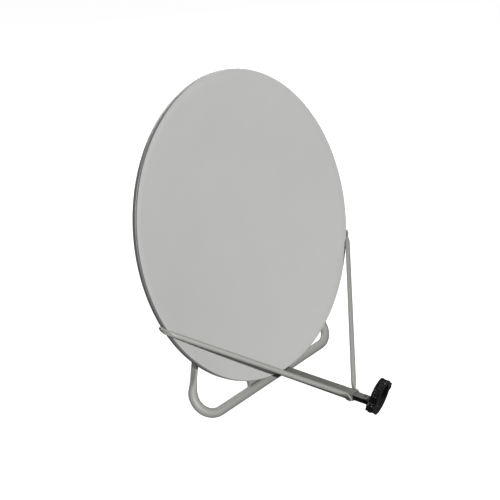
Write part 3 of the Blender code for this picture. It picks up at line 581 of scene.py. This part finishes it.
def tray_grid():
    """The flanges' free edge by height: a circle round the run tube, a straight toe, a slanted
    step, then the bowl's own back."""
    notch = TUBE_RADIUS + 2.0 * GAP
    axis_depth, axis_height = RUN_IN_DISH[1:]
    heights = np.concatenate((
        np.linspace(TRAY_BOTTOM, axis_height + notch, 20),
        np.linspace(axis_height + notch, TRAY_TOE_TOP, 4)[1:],
        np.linspace(TRAY_TOE_TOP, TRAY_CONTOUR_BOTTOM, 6)[1:],
        np.linspace(TRAY_CONTOUR_BOTTOM, TRAY_TOP - CORNER_ROUND, 40)[1:],
        TRAY_TOP - CORNER_ROUND + CORNER_ROUND * np.sin(np.linspace(0.0, QUARTER, 8)[1:])))
    circle = axis_depth + np.sqrt(np.maximum(notch ** 2 - (heights - axis_height) ** 2, 0.0))
    slant = np.interp(heights, (TRAY_TOE_TOP, TRAY_CONTOUR_BOTTOM),
                      (TRAY_TOE_DEPTH, flange_contour(TRAY_CONTOUR_BOTTOM)))
    edge = np.where(heights < axis_height + notch, np.maximum(circle, TRAY_TOE_DEPTH), slant)
    edge = np.where(heights >= TRAY_CONTOUR_BOTTOM, flange_contour(heights), edge)
    edge = np.minimum(edge + drawn_back(heights), TRAY_DEPTH - BRACKET_BEND - LEAST_FLANGE)
    return channel_grid(TRAY_HALF_WIDTH, TRAY_DEPTH, edge, heights, 1.0)


add_piece("tray_folded_sheet", [in_dish(tray_grid())], tube_powder_coat, "back_tray",
          around=False, sheet=BRACKET_SHEET, facing=1.0, bevel=SHEET_BEVEL)


# Plane paths of the stand loops

def trail(stretches):
    """A plane path from (0, 0) along +X: each stretch is a length, or a radius and an angle; an arc
    is its centre plus the start's offset turned by the share of its angle."""
    start = np.zeros(2)
    heading = 0.0
    pieces = [start[None, :]]
    for length, angle in stretches:
        if angle == 0.0:
            share = np.linspace(0.0, 1.0, 25)[1:, None]
            made = start + share * length * np.array((math.cos(heading), math.sin(heading)))
        else:
            turn = np.linspace(0.0, angle, 49)[1:]
            side = length * math.copysign(1.0, angle)
            centre = start + side * np.array((-math.sin(heading), math.cos(heading)))
            away = start - centre
            made = centre + np.stack((away[0] * np.cos(turn) - away[1] * np.sin(turn),
                                      away[0] * np.sin(turn) + away[1] * np.cos(turn)), axis=-1)
            heading += angle
        pieces.append(made)
        start = made[-1]
    return np.concatenate(pieces)


def loop_trail(half_run, bend, taper, end_x, top_bend, eye_length):
    """Right half of a loop: run, corner, leg, and an end square to the run at end_x."""
    corner = QUARTER + taper
    leg_x = half_run + bend * math.sin(corner)
    top_shift = top_bend * (1.0 - math.cos(taper)) * math.copysign(1.0, taper)
    leg = (leg_x - end_x - top_shift) / math.sin(taper)
    return trail(((half_run, 0.0), (bend, corner), (leg, 0.0), (top_bend, -taper), (eye_length, 0.0)))


def lengths_along(points):
    """Length from the first point to each."""
    steps = np.linalg.norm(np.diff(points, axis=0), axis=1)
    return np.concatenate(((0.0,), np.cumsum(steps)))


def points_at(points, known, wanted):
    """Places, or directions, at the wanted lengths of a path."""
    return np.stack([np.interp(wanted, known, points[:, axis]) for axis in range(points.shape[1])], axis=-1)


def stations(total, round_end, spacing):
    """Lengths at which a pressed tube gets a ring: close together over its rounded ends."""
    near = round_end * (1.0 - np.cos(np.linspace(0.0, QUARTER, 10)))
    middle = np.linspace(round_end, total - round_end, int((total - 2.0 * round_end) / spacing) + 2)[1:-1]
    return np.concatenate((near, middle, (total - near)[::-1]))


def ring_points(centres, wide, thin, along, across):
    """Rings round the centres: along goes the wide way, across the thin way."""
    return centres[:, None, :] + wide[:, None, :] * along[..., None] + thin[:, None, :] * across[..., None]


def tube_grid(points, lengths, thin_ways, pressed, radius, flat, columns):
    """Length by angle. A ring's two half axes go from the radius to the flat's half width and half
    thickness as it is pressed, its shape from a circle to a power of cosine and sine that is nearly
    a rectangle, and the width ends in a half circle."""
    total = lengths[-1]
    tangent = unit(np.gradient(points, lengths, axis=0))
    thin = unit(thin_ways - tangent * np.sum(thin_ways * tangent, axis=1, keepdims=True))
    wide = np.cross(tangent, thin)
    inward = np.clip(1.0 - np.minimum(lengths, total - lengths) / flat[0], 0.0, 1.0)
    ending = np.sqrt(1.0 - inward ** 2)
    half_wide = (radius + (flat[0] - radius) * pressed) * ending
    half_thin = (radius + (flat[1] - radius) * pressed) * np.where(ending > 0.0, 1.0, 0.0)
    angle = (np.arange(columns) + 0.5) * TAU / columns
    power = (1.0 - 0.75 * pressed)[:, None]
    along = np.sign(np.cos(angle)) * np.abs(np.cos(angle)) ** power * half_wide[:, None]
    across = np.sign(np.sin(angle)) * np.abs(np.sin(angle)) ** power * half_thin[:, None]
    return ring_points(points, wide, thin, along, across)


def loop_grid(half, round_half):
    """A stand loop in its own plane: both halves, pressed flat up the legs."""
    right = points_of(half[:, 0], 0.0, half[:, 1])
    whole = np.concatenate(((right * (-1.0, 1.0, 1.0))[:0:-1], right))
    known = lengths_along(whole)
    wanted = stations(known[-1], FLAT_HALF_WIDTH, 0.003)
    points = points_at(whole, known, wanted)
    thin = np.cross(unit(np.gradient(points, wanted, axis=0)), (0.0, 1.0, 0.0))
    pressed = smooth_step((np.abs(wanted - known[-1] / 2.0) - round_half) / PRESS_LENGTH)
    return tube_grid(points, wanted, thin, pressed, TUBE_RADIUS, (FLAT_HALF_WIDTH, FLAT_THICKNESS / 2.0),
                     40)


FRONT_END_X = YOKE_HALF_WIDTH + GAP + FLAT_THICKNESS / 2.0
REAR_END_X = YOKE_HALF_WIDTH - BRACKET_SHEET - GAP - FLAT_THICKNESS / 2.0
front_half = loop_trail(FRONT_HALF_RUN, FRONT_BEND, FRONT_TAPER, FRONT_END_X, FRONT_TOP_BEND,
                        FRONT_EYE_LENGTH)
front_round = FRONT_HALF_RUN + FRONT_BEND * (QUARTER + FRONT_TAPER) + FRONT_ROUND_LEG
add_piece("front_loop_tube", [placed(loop_grid(front_half, front_round), FRONT_RUN, FRONT_LEAN)],
          tube_powder_coat, "front_loop")

PIVOT = FRONT_RUN + turned_x((0.0, 0.0, front_half[-1, 1] - EYE_FROM_END), -FRONT_LEAN)
PIVOT_IN_DISH = turned_x(PIVOT, RIM_TILT)


def rear_half_path(eye_height):
    """The rear loop's half path; the spread of its legs is halved in on the pivot's height."""
    low, high = math.radians(-40.0), math.radians(-1.0)
    for _ in range(40):
        taper = (low + high) / 2.0
        half = loop_trail(REAR_HALF_RUN, REAR_BEND, taper, REAR_END_X, REAR_TOP_BEND, REAR_EYE_LENGTH)
        if half[-1, 1] - EYE_FROM_END > eye_height:
            high = taper
        else:
            low = taper
    return half


rise = PIVOT - REAR_RUN
rear_lean = math.atan2(rise[1], rise[2])
rear_half = rear_half_path(np.linalg.norm(rise))
rear_round = lengths_along(rear_half)[-1] - REAR_EYE_LENGTH - PRESS_LENGTH
add_piece("rear_loop_tube", [placed(loop_grid(rear_half, rear_round), REAR_RUN, rear_lean)],
          tube_powder_coat, "rear_loop")


def yoke_grid():
    """The flanges' free edge by height: straight out to the eye, a circle round the pivot, and
    straight back to the web."""
    web = TRAY_DEPTH + GAP
    depth, height = PIVOT_IN_DISH[1:]
    rise_end = YOKE_EYE_RADIUS * math.sin(YOKE_EYE_ARC)
    reach = depth + YOKE_EYE_RADIUS * math.cos(YOKE_EYE_ARC)
    heights = np.concatenate((
        np.linspace(YOKE_BOTTOM, height - rise_end, 26),
        height + YOKE_EYE_RADIUS * np.sin(np.linspace(-YOKE_EYE_ARC, YOKE_EYE_ARC, 24))[1:],
        np.linspace(height + rise_end, YOKE_TOP, 26)[1:]))
    circle = depth + np.sqrt(np.maximum(YOKE_EYE_RADIUS ** 2 - (heights - height) ** 2, 0.0))
    straight = np.interp(heights, (YOKE_BOTTOM, height - rise_end, height + rise_end, YOKE_TOP),
                         (web, reach, reach, web))
    edge = np.where(np.abs(heights - height) <= rise_end, circle, straight)
    edge = np.maximum(edge, web + BRACKET_BEND + 2.0 * LEAST_FLANGE)
    return channel_grid(YOKE_HALF_WIDTH, web, edge, heights, -1.0)


add_piece("yoke_folded_sheet", [in_dish(yoke_grid())], tube_powder_coat, "rear_yoke",
          around=False, sheet=BRACKET_SHEET, facing=-1.0, bevel=SHEET_BEVEL)


# Bolts, nuts, studs and rivets

def turned_grid(rows, start, way, columns=48):
    """Rows of a turned or hexagonal shape by angle. A row is a radius and a distance along the
    way; a hexagon's row also has 1, a chamfer slope and the radius the slope is measured from. A
    hexagon's radius is its flat's over the cosine of the angle from the middle of the flat."""
    full_rows = [(*row, 0.0, 0.0, 0.0)[:5] for row in rows]
    radius, along, hexagon, slope, base = np.array(full_rows).T[:, :, None]
    angle = np.linspace(0.0, TAU, columns, endpoint=False)
    from_flat = np.mod(angle + math.pi / 6.0, math.pi / 3.0) - math.pi / 6.0
    reach = radius * (1.0 + hexagon * (1.0 / np.cos(from_flat) - 1.0))
    distance = along + slope * (reach - base)
    way = unit(way)
    side = unit(np.cross(way, (0.31, 0.17, 0.93)))
    other = np.cross(way, side)
    return (start + way * distance[..., None] + side * (reach * np.cos(angle))[..., None]
            + other * (reach * np.sin(angle))[..., None])


def turned_grids(shapes, start, way):
    """The grids of shapes on one axis; a shape round a hole comes back to its first row."""
    return [turned_grid(rows + [rows[0]] if rows[0][0] > 0.0 else rows, start, way) for rows in shapes]


def hexagon_rows(corner_radius, near, far, hole):
    """A nut or head from near to far, chamfered at both ends, round a hole or closed where that is 0."""
    flat = corner_radius * math.cos(math.pi / 6.0)
    slope = math.copysign(CHAMFER, far - near)
    face = flat * 0.96
    return [(hole, near), (face, near), (flat, near, 1, slope, face), (flat, far, 1, -slope, face),
            (face, far), (hole, far)]


def shank_rows(radius, near, far, pitch):
    """A thread drawn as close rings: the radius dips between crests once a pitch."""
    along = np.linspace(near, far, max(int(abs(far - near) / pitch * 4), 4))
    dips = radius - THREAD_DEPTH * pitch * (1.0 - np.cos(TAU * (along - near) / pitch))
    tip = far + math.copysign(THREAD_TIP, far - near)
    return [(0.0, near)] + list(zip(dips, along)) + [(radius * 0.7, tip), (0.0, tip)]


def washer_rows(inner, outer, near, far):
    """A flat ring with softened edges."""
    soft = math.copysign(SOFT_EDGE, far - near)
    return [(inner, near), (outer - SOFT_EDGE, near), (outer, near + soft), (outer, far - soft),
            (outer - SOFT_EDGE, far), (inner, far)]


def add_bolt(node, start, end, sizes, place, plating=zinc):
    """A bolt in place of the CAD node of this name: its head before start, its nut past end, a
    washer under each, and a thread between and past the nut."""
    radius, head_radius, head_height, pitch = sizes
    length = math.dist(start, end)
    washer = head_radius * WASHER_SHARE
    shapes = (hexagon_rows(head_radius, -WASHER_THICKNESS, -head_height, 0.0),
              washer_rows(radius, washer, -WASHER_THICKNESS, 0.0),
              washer_rows(radius, washer, length, length + WASHER_THICKNESS),
              hexagon_rows(head_radius, length + WASHER_THICKNESS, length + head_height, radius),
              shank_rows(radius, -head_height * 0.4, length + head_height * 1.45, pitch))
    add_piece(node + "_threaded", turned_grids(shapes, place(start), place(end) - place(start)), plating,
              node, sharp=25.0)


pivot_depth, pivot_height = PIVOT_IN_DISH[1:]
outer_face = FRONT_END_X + FLAT_THICKNESS / 2.0 + GAP
inner_face = REAR_END_X - FLAT_THICKNESS / 2.0 - GAP
for side, label in SIDES:
    add_bolt("pivot_bolt_" + label, (side * outer_face, pivot_depth, pivot_height),
             (side * inner_face, pivot_depth, pivot_height), BOLT, in_dish)


def bowl_back_at(x, height, radius):
    """Depth just behind the bowl's back over a small circle: the deepest of its front's points
    there, plus the sheet."""
    ring = np.linspace(0.0, TAU, 12, endpoint=False)
    deepest = np.max(bowl_depth_at(x + radius * np.cos(ring), height + radius * np.sin(ring)))
    return deepest + DISH_SHEET * SHEET_BEHIND_MIDDLE + GAP


def add_stud(node, x, height):
    """A threaded stud on the bowl's back with a spacer collar in front of the tray and a nut."""
    seat = TRAY_DEPTH + BRACKET_SHEET + 2.0 * GAP
    washer = seat + STUD_WASHER_THICKNESS
    collar_front = bowl_back_at(x, height, COLLAR_RADIUS)
    collar_back = TRAY_DEPTH - BRACKET_SHEET - GAP
    start = in_dish((x, 0.0, height))
    shapes = [shank_rows(BOLT_RADIUS, bowl_back_at(x, height, BOLT_RADIUS), seat + STUD_LENGTH, BOLT_PITCH),
              washer_rows(BOLT_RADIUS, BOLT_HEAD_RADIUS * STUD_WASHER_SHARE, seat, washer),
              hexagon_rows(BOLT_HEAD_RADIUS, washer, seat + STUD_NUT_HEIGHT, BOLT_RADIUS)]
    if collar_front + COLLAR_LEAST < collar_back:
        shapes.append(washer_rows(BOLT_RADIUS, COLLAR_RADIUS, collar_front, collar_back))
    add_piece(node + "_threaded", turned_grids(shapes, start, in_dish((x, 1.0, height)) - start), zinc,
              node, sharp=25.0)


for row, height in STUD_HEIGHTS:
    for side, label in SIDES:
        add_stud("dish_stud_" + row + "_" + label, side * STUD_HALF_SPACING, height)


# The feed arm

def rounded_rectangle(half_x, half_z, corner, steps=7):
    """An outline as a circle of the corner radius pushed out to the four corners in turn."""
    turn = np.linspace(0.0, QUARTER, steps)
    angle = np.concatenate([turn + quarter * QUARTER for quarter in range(4)])
    push_x = np.repeat((1.0, -1.0, -1.0, 1.0), steps) * (half_x - corner)
    push_z = np.repeat((1.0, 1.0, -1.0, -1.0), steps) * (half_z - corner)
    return push_x + corner * np.cos(angle), push_z + corner * np.sin(angle)


WEB_FRONT = TRAY_DEPTH - BRACKET_SHEET - GAP - ROOT_PLATE[1] - GAP
ARM_END_DEPTH = turned_x(ARM_END, RIM_TILT)[1]
ARM_ALONG = turned_x((0.0, 1.0, 0.0), RIM_TILT - ARM_SLOPE)
ARM_UP = turned_x((0.0, 0.0, 1.0), RIM_TILT - ARM_SLOPE)


def arm_root_at(height):
    """Length along the arm at which a height in its section meets the root plate: a plane."""
    return (WEB_FRONT - ARM_END_DEPTH - ARM_UP[1] * height) / ARM_ALONG[1]


def arm_grid():
    """Length by angle round a rounded rectangle: outside from the end to the root, then inside back."""
    half_x, half_z = ARM_WIDTH / 2.0, ARM_HEIGHT / 2.0
    edge = rounded_rectangle(half_x - SOFT_EDGE, half_z - SOFT_EDGE, ARM_CORNER)
    outer = rounded_rectangle(half_x, half_z, ARM_CORNER)
    inner = rounded_rectangle(half_x - ARM_WALL, half_z - ARM_WALL, ARM_CORNER - ARM_WALL * 0.8)
    share = np.linspace(0.0, 1.0, 60)[:, None]
    rings = [points_of(x, shares * arm_root_at(z - half_z), z - half_z)
             for (x, z), shares in ((edge, share[:1]), (outer, share[1:]), (inner, share[::-1]))]
    rings[1][0, :, 1] = SOFT_EDGE
    grid = np.concatenate(rings)
    return np.concatenate((grid, grid[:1]))


add_piece("feed_arm_tube", [in_arm(arm_grid())], arm_powder_coat, "feed_arm")

root_place = ARM_END + turned_x((0.0, arm_root_at(-ARM_HEIGHT / 2.0), -ARM_HEIGHT / 2.0), -ARM_SLOPE)
ROOT_HEIGHT = turned_x(root_place, RIM_TILT)[2]


def root_plate_grid():
    """The plate's rounded outline at both faces, drawn in by the softened edge and closed to a
    point."""
    half_x, half_z = ROOT_PLATE[0] / 2.0, ROOT_PLATE[2] / 2.0
    front, back = WEB_FRONT + GAP, WEB_FRONT + GAP + ROOT_PLATE[1]
    soft = ROOT_PLATE_SOFT
    x, z = rounded_rectangle(half_x, half_z, ROOT_PLATE_CORNER)
    share = np.array((0.0, 1.0, 1.0, 1.0, 1.0, 0.0))[:, None]
    inset = np.array((0.0, soft, 0.0, 0.0, soft, 0.0))[:, None]
    depth = np.array((front, front, front + soft, back - soft, back, back))[:, None]
    return points_of(x * (share - inset / half_x), depth, z * (share - inset / half_z) + ROOT_HEIGHT)


add_piece("arm_root_flange", [in_dish(root_plate_grid())], arm_powder_coat,
          "arm_root_plate", sharp=30.0)
for side, label in SIDES:
    x = side * (ROOT_PLATE[0] / 2.0 - ROOT_BOLT_INSET)
    add_bolt("arm_root_bolt_" + label, (x, WEB_FRONT, ROOT_HEIGHT), (x, TRAY_DEPTH + GAP, ROOT_HEIGHT),
             SMALL_BOLT, in_dish)


# The side struts

def strut_path(side):
    """Corner points of a strut from its rim tab to its foot, the ways its flats face, and the
    middle of its tab with the way that faces."""
    cosine, sine = math.cos(STRUT_ANGLE), math.sin(STRUT_ANGLE)
    edge = np.array((RIM_HALF_WIDTH * cosine, STRUT_DEPTH, RIM_HALF_HEIGHT * sine))
    outward = unit(np.array((cosine / RIM_HALF_WIDTH, 0.0, sine / RIM_HALF_HEIGHT)))
    bend = turned_x(edge + outward * STRUT_OUT, -RIM_TILT)
    outward = turned_x(outward, -RIM_TILT)
    forward = turned_x((0.0, -1.0, 0.0), -RIM_TILT)
    foot_x = ARM_WIDTH / 2.0 + GAP + STRUT_FLAT_THICKNESS / 2.0
    foot = ARM_END + turned_x((foot_x, ARM_BOLT_FROM_END, -ARM_HEIGHT / 2.0), -ARM_SLOPE)
    flat_way = unit((foot - bend) * (0.0, 1.0, 1.0))
    foot_start = foot - flat_way * STRUT_FOOT_LENGTH * STRUT_FOOT_SHARE
    foot_end = foot + flat_way * STRUT_FOOT_LENGTH * (1.0 - STRUT_FOOT_SHARE)
    span = foot_start - bend
    tab = unit(span - outward * np.dot(span, outward)) * STRUT_TAB_LENGTH
    crossing = unit(outward * np.dot(span, forward) - forward * np.dot(span, outward))
    share = np.linspace(0.0, 1.0, 40)[:, None]
    path = np.concatenate(((bend - tab, bend - tab / 2.0), bend + span * share, (foot, foot_end)))
    across = np.array((1.0, 0.0, 0.0))
    faces = np.concatenate(((outward, outward), crossing + (across - crossing) * share, (across, across)))
    faces[2] = outward + crossing
    mirror = np.array((side, 1.0, 1.0))
    return path * mirror, faces * mirror, (bend - tab / 2.0) * mirror, outward * mirror


def eased(points, window):
    """A path with its corners rounded: the mean of nearby points, its ends held by mirroring."""
    half = window // 2
    front = 2.0 * points[0] - points[half:0:-1]
    back = 2.0 * points[-1] - points[-2:-half - 2:-1]
    padded = np.concatenate((front, points, back))
    sums = np.cumsum(np.concatenate((np.zeros((1, 3)), padded)), axis=0)
    return (sums[window:] - sums[:-window]) / window


def strut_grid(corners, faces):
    """A strut's tube along its corner points, pressed flat over its tab and its foot."""
    known = lengths_along(corners)
    fine = np.linspace(0.0, known[-1], int(known[-1] / 0.001) + 1)
    path = eased(points_at(corners, known, fine), 5)
    ways = eased(points_at(faces, known, fine), 9)
    known = lengths_along(path)
    total = known[-1]
    wanted = stations(total, STRUT_FLAT_HALF_WIDTH, 0.0025)
    near = 1.0 - smooth_step((wanted - STRUT_TAB_LENGTH - STRUT_FLAT_PAST_BEND) / STRUT_EASE)
    far = 1.0 - smooth_step((total - wanted - STRUT_FOOT_LENGTH) / STRUT_EASE)
    return tube_grid(points_at(path, known, wanted), wanted, points_at(ways, known, wanted),
                     np.maximum(near, far), STRUT_RADIUS,
                     (STRUT_FLAT_HALF_WIDTH, STRUT_FLAT_THICKNESS / 2.0), 28)


for side, label in SIDES:
    corners, faces, centre, outward = strut_path(side)
    add_piece("strut_" + label + "_tube", [strut_grid(corners, faces) + RIM_CENTRE],
              strut_powder_coat, "strut_" + label)
    rows = [(RIVET_RADIUS * math.cos(a), RIVET_HEIGHT * math.sin(a)) for a in np.linspace(QUARTER, 0.0, 8)]
    rows += [(RIVET_RADIUS, -SOFT_EDGE), (0.0, -SOFT_EDGE)]
    seat = centre + RIM_CENTRE + outward * STRUT_FLAT_THICKNESS / 2.0
    add_piece("strut_rivet_" + label, [turned_grid(rows, seat, outward, 24)], zinc)

reach = np.array((ARM_WIDTH / 2.0 + STRUT_FLAT_THICKNESS + 2.0 * GAP, 0.0, 0.0))
middle = (0.0, ARM_BOLT_FROM_END, -ARM_HEIGHT / 2.0)
add_bolt("arm_end_bolt", middle - reach, middle + reach, SMALL_BOLT, in_arm)


# The feed holder

def stem_grid():
    """Length by angle: a rounded rectangle whose top and bottom drop along the neck and whose end
    follows the clamp's back face, a plane."""
    low = ARM_WALL + GAP
    block = np.linspace(STEM_HIDDEN, -STEM_VISIBLE, 24)
    neck = np.linspace(0.0, 1.0, 12)[1:]
    along = np.concatenate((block, -STEM_VISIBLE - NECK_LENGTH * neck))[:, None]
    drop = np.concatenate((0.0 * block, neck))[:, None]
    top = -low - NECK_TOP_DROP * drop
    bottom = low - ARM_HEIGHT - NECK_BOTTOM_DROP * drop
    x, z = rounded_rectangle(1.0, 1.0, 0.22)
    wide = x * (ARM_WIDTH / 2.0 - low)
    tall = (top + bottom) / 2.0 + z * (top - bottom) / 2.0
    back = HOLDER_LENGTH / 2.0 + GAP
    face = from_arm(in_holder((0.0, back, 0.0)))
    normal = face - from_arm(in_holder((0.0, back - 1.0, 0.0)))
    stop = (np.dot(normal, face) - normal[0] * wide - normal[2] * tall) / normal[1]
    grid = points_of(wide, np.maximum(along, stop), tall)
    first, last = [np.broadcast_to(ring.mean(axis=0), ring.shape)[None] for ring in (grid[0], grid[-1])]
    return np.concatenate((first, grid, last))


# The stem's top carries a painted sheen
add_piece("holder_stem_moulded", [in_arm(stem_grid())], stem_plastic_with_painted_sheen, "holder_stem",
          sharp=35.0)


def arc_between(end_x, end_z, radius, turn):
    """X and Z of an outline: its end, an arc and the mirror image of the end."""
    return (np.concatenate((end_x, radius * np.cos(turn), -end_x[::-1])),
            np.concatenate((end_z, radius * np.sin(turn), end_z[::-1])))


def half_ring_grids(sign):
    """One half of the clamp: its outside and its inside by the way round and the way along the
    bore, closed by flat faces between them. The outside is an ear, an arc and an ear; along the
    bore a channel dips into the arc by a smooth step and cross ribs stand in it."""
    ear, arc = 12, 61
    split = HOLDER_SPLIT / 2.0
    top = split + HOLDER_EAR_HEIGHT
    start = math.asin(top / HOLDER_OUTER)
    inner_start = math.asin(split / HOLDER_BORE)
    turn = np.linspace(start, math.pi - start, arc)
    ear_turn = np.linspace(0.0, QUARTER, 5)
    ear_flat = np.linspace(HOLDER_EAR - EAR_ROUND, HOLDER_OUTER * math.cos(start), ear - 4)[1:-1]
    ear_x = np.concatenate((HOLDER_EAR - EAR_ROUND + EAR_ROUND * np.cos(ear_turn), ear_flat))
    ear_z = np.concatenate((top - EAR_ROUND + EAR_ROUND * np.sin(ear_turn), np.full(len(ear_flat), top)))
    out_x, out_z = arc_between(ear_x, ear_z, HOLDER_OUTER, turn)
    flat_x = np.linspace(HOLDER_EAR, HOLDER_BORE * math.cos(inner_start), ear)[:-1]
    in_x, in_z = arc_between(flat_x, np.full(ear - 1, split), HOLDER_BORE,
                             np.linspace(inner_start, math.pi - inner_start, arc))
    along = HOLDER_LENGTH / 2.0 * np.array(CHANNEL_ROWS)
    channel = smooth_step((CHANNEL_HALF_WIDTH - np.abs(along)) / CHANNEL_STEP + 0.5)
    from_rib = np.abs(np.mod(turn + RIB_SPACING / 2.0, RIB_SPACING) - RIB_SPACING / 2.0)
    between = smooth_step((from_rib - RIB_HALF_WIDTH) / RIB_STEP)
    between[0] = between[-1] = 0.0
    between = np.pad(between, ear - 1)[:, None]
    dip = 1.0 - channel * between * CHANNEL_DEPTH / HOLDER_OUTER
    outside = points_of(out_x[:, None] * dip, along, sign * out_z[:, None] * dip)
    inside = points_of(in_x[:, None], along, sign * in_z[:, None])
    grids = [outside, inside]
    for row in (0, -1):
        grids.append(np.stack((outside[:, row], inside[:, row]), axis=1))
        grids.append(np.stack((outside[row], inside[row]), axis=1))
    return [in_holder(grid) for grid in grids]


for sign, label in ((-1.0, "lower"), (1.0, "upper")):
    add_piece("holder_" + label + "_half_moulded", half_ring_grids(sign), black_plastic,
              "holder_" + label + "_half", around=False, sharp=30.0,
              bevel=0.0004)
clamp_reach = HOLDER_EAR_HEIGHT + HOLDER_SPLIT / 2.0 + GAP
for side, label in SIDES:
    x = side * (HOLDER_EAR - HOLDER_SCREW_INSET)
    add_bolt("holder_screw_" + label, (x, 0.0, clamp_reach), (x, 0.0, -clamp_reach), SMALL_BOLT,
             in_holder, black_zinc)


# Weld beads

def bead_grid(path, radius, columns=14):
    """A bead along a path: a circle whose radius swells once a ripple, drawn to a point at both ends."""
    known = lengths_along(path)
    total = known[-1]
    wanted = np.linspace(0.0, total, max(int(total / BEAD_RIPPLE * 8), 16))
    points = points_at(path, known, wanted)
    tangent = unit(np.gradient(points, wanted, axis=0))
    side = unit(np.cross(tangent, (0.21, 0.93, 0.31)))
    share = wanted / total
    ends = np.sqrt(np.clip(32.0 * share * (1.0 - share), 0.0, 1.0))
    swell = (radius * (1.0 + BEAD_SWELL * np.cos(TAU * wanted / BEAD_RIPPLE)) * ends)[:, None]
    angle = np.linspace(0.0, TAU, columns, endpoint=False)
    return ring_points(points, side, np.cross(tangent, side), swell * np.cos(angle), swell * np.sin(angle))


angle = np.linspace(math.radians(15.0), math.radians(88.0), 30)
for side, label in SIDES:
    path = points_of(side * (TRAY_HALF_WIDTH + 0.0003),
                     RUN_IN_DISH[1] + (TUBE_RADIUS + GAP) * np.cos(angle),
                     RUN_IN_DISH[2] + (TUBE_RADIUS + GAP) * np.sin(angle))
    add_piece("tray_weld_" + label, [in_dish(bead_grid(path, BEAD_RADIUS))], tube_powder_coat,
              sharp=60.0)
x, z = rounded_rectangle(ARM_WIDTH / 2.0, ARM_HEIGHT / 2.0, ARM_CORNER)
z = z - ARM_HEIGHT / 2.0
ring = points_of(x, arm_root_at(z) - SOFT_EDGE, z)
ring = np.concatenate((ring, ring[:2]))
add_piece("arm_root_weld", [in_arm(bead_grid(ring, ARM_BEAD_RADIUS))], arm_powder_coat,
          sharp=60.0)


# Floor, light and camera

def plain_floor():
    """White seamless paper: matt, even, and lit well enough to wash out."""
    material, tree, shader, place = start_material("white_seamless_paper", {
        "Roughness": 0.9, "Specular IOR Level": 0.0, "Emission Color": srgb("#FFFFFF"),
        "Emission Strength": 0.95})
    feed(tree, shader, {"Base Color": clouded(tree, place, 2.0, 2.0, "#9C9C9C", "#A2A2A2")[0]})
    return material


floor_side = np.linspace(-FLOOR_HALF_SIDE, FLOOR_HALF_SIDE, 7)
floor_grid = points_of(floor_side, floor_side[:, None], -FLOOR_DROP)
floor_mesh = bpy.data.meshes.new("floor")
floor_mesh.from_pydata(floor_grid.reshape(-1, 3).tolist(), [], grid_faces(7, 7, False, 0).tolist())
floor_mesh.materials.append(plain_floor())
floor = add_object("floor", floor_mesh)
floor.visible_diffuse = False
floor.visible_glossy = False

toward = Vector((math.sin(VIEW_AZIMUTH) * math.cos(VIEW_ELEVATION),
                 -math.cos(VIEW_AZIMUTH) * math.cos(VIEW_ELEVATION), math.sin(VIEW_ELEVATION)))
right = Vector((math.cos(VIEW_AZIMUTH), math.sin(VIEW_AZIMUTH), 0.0))
up = toward.cross(right)
per_pixel = VIEW_DISTANCE / FOCAL_PIXELS
eye = (Vector(RIM_CENTRE) + toward * VIEW_DISTANCE - right * (RIM_PIXEL[0] - PICTURE_SIDE / 2.0) * per_pixel
       - up * (PICTURE_SIDE / 2.0 - RIM_PIXEL[1]) * per_pixel)
camera = add_object("camera", bpy.data.cameras.new("camera"))
camera.data.sensor_width = SENSOR_WIDTH
camera.data.lens = FOCAL_PIXELS * SENSOR_WIDTH / PICTURE_SIDE
camera.data.clip_start = 0.01
turn = Matrix((right, up, toward)).transposed().to_4x4()
camera.matrix_world = Matrix.Translation(eye) @ turn
bpy.context.scene.camera = camera

# A small hard light stands near the camera, up and to its right, and a big soft one overhead,
# which paint and plastic don't mirror. Two more soft ones light the side and the back, which only
# other views see. Each has its place, its side and its power.
LIGHTS = (
    ("camera_light", eye + up * 0.065 + right * 0.20 + toward * 0.4, 0.02, 30.5),
    ("overhead_softbox", (-0.4, -1.2, 2.6), 1.4, 8.0),
    ("side_softbox", (1.5, 1.1, 1.8), 1.2, 18.0),
    ("back_softbox", (0.5, 2.6, 1.4), 1.8, 60.0),
)
for name, place, side, power in LIGHTS:
    light = add_object(name, bpy.data.lights.new(name, "AREA"))
    light.data.shape = "SQUARE"
    light.data.size = side
    light.data.energy = power
    light.rotation_euler = (Vector(RIM_CENTRE) - Vector(place)).to_track_quat("-Z", "Y").to_euler()
    light.location = place
    light.visible_glossy = name != "overhead_softbox"

# The room is pale to the camera and dim as a light, so that the shading stays clear
world = bpy.data.worlds.new("pale_studio")
bpy.context.scene.world = world
world.use_nodes = True
room = world.node_tree
background = room.nodes["Background"]
set_inputs(background, {"Color": srgb("#E8E8E8")})
seen = add_node(room, "LightPath", out="Is Camera Ray")
strength = add_node(room, "MapRange", {"To Min": 0.10, "To Max": 1.2}, {"Value": seen})
feed(room, background, {"Strength": strength})
bpy.context.scene.view_settings.view_transform = "Standard"
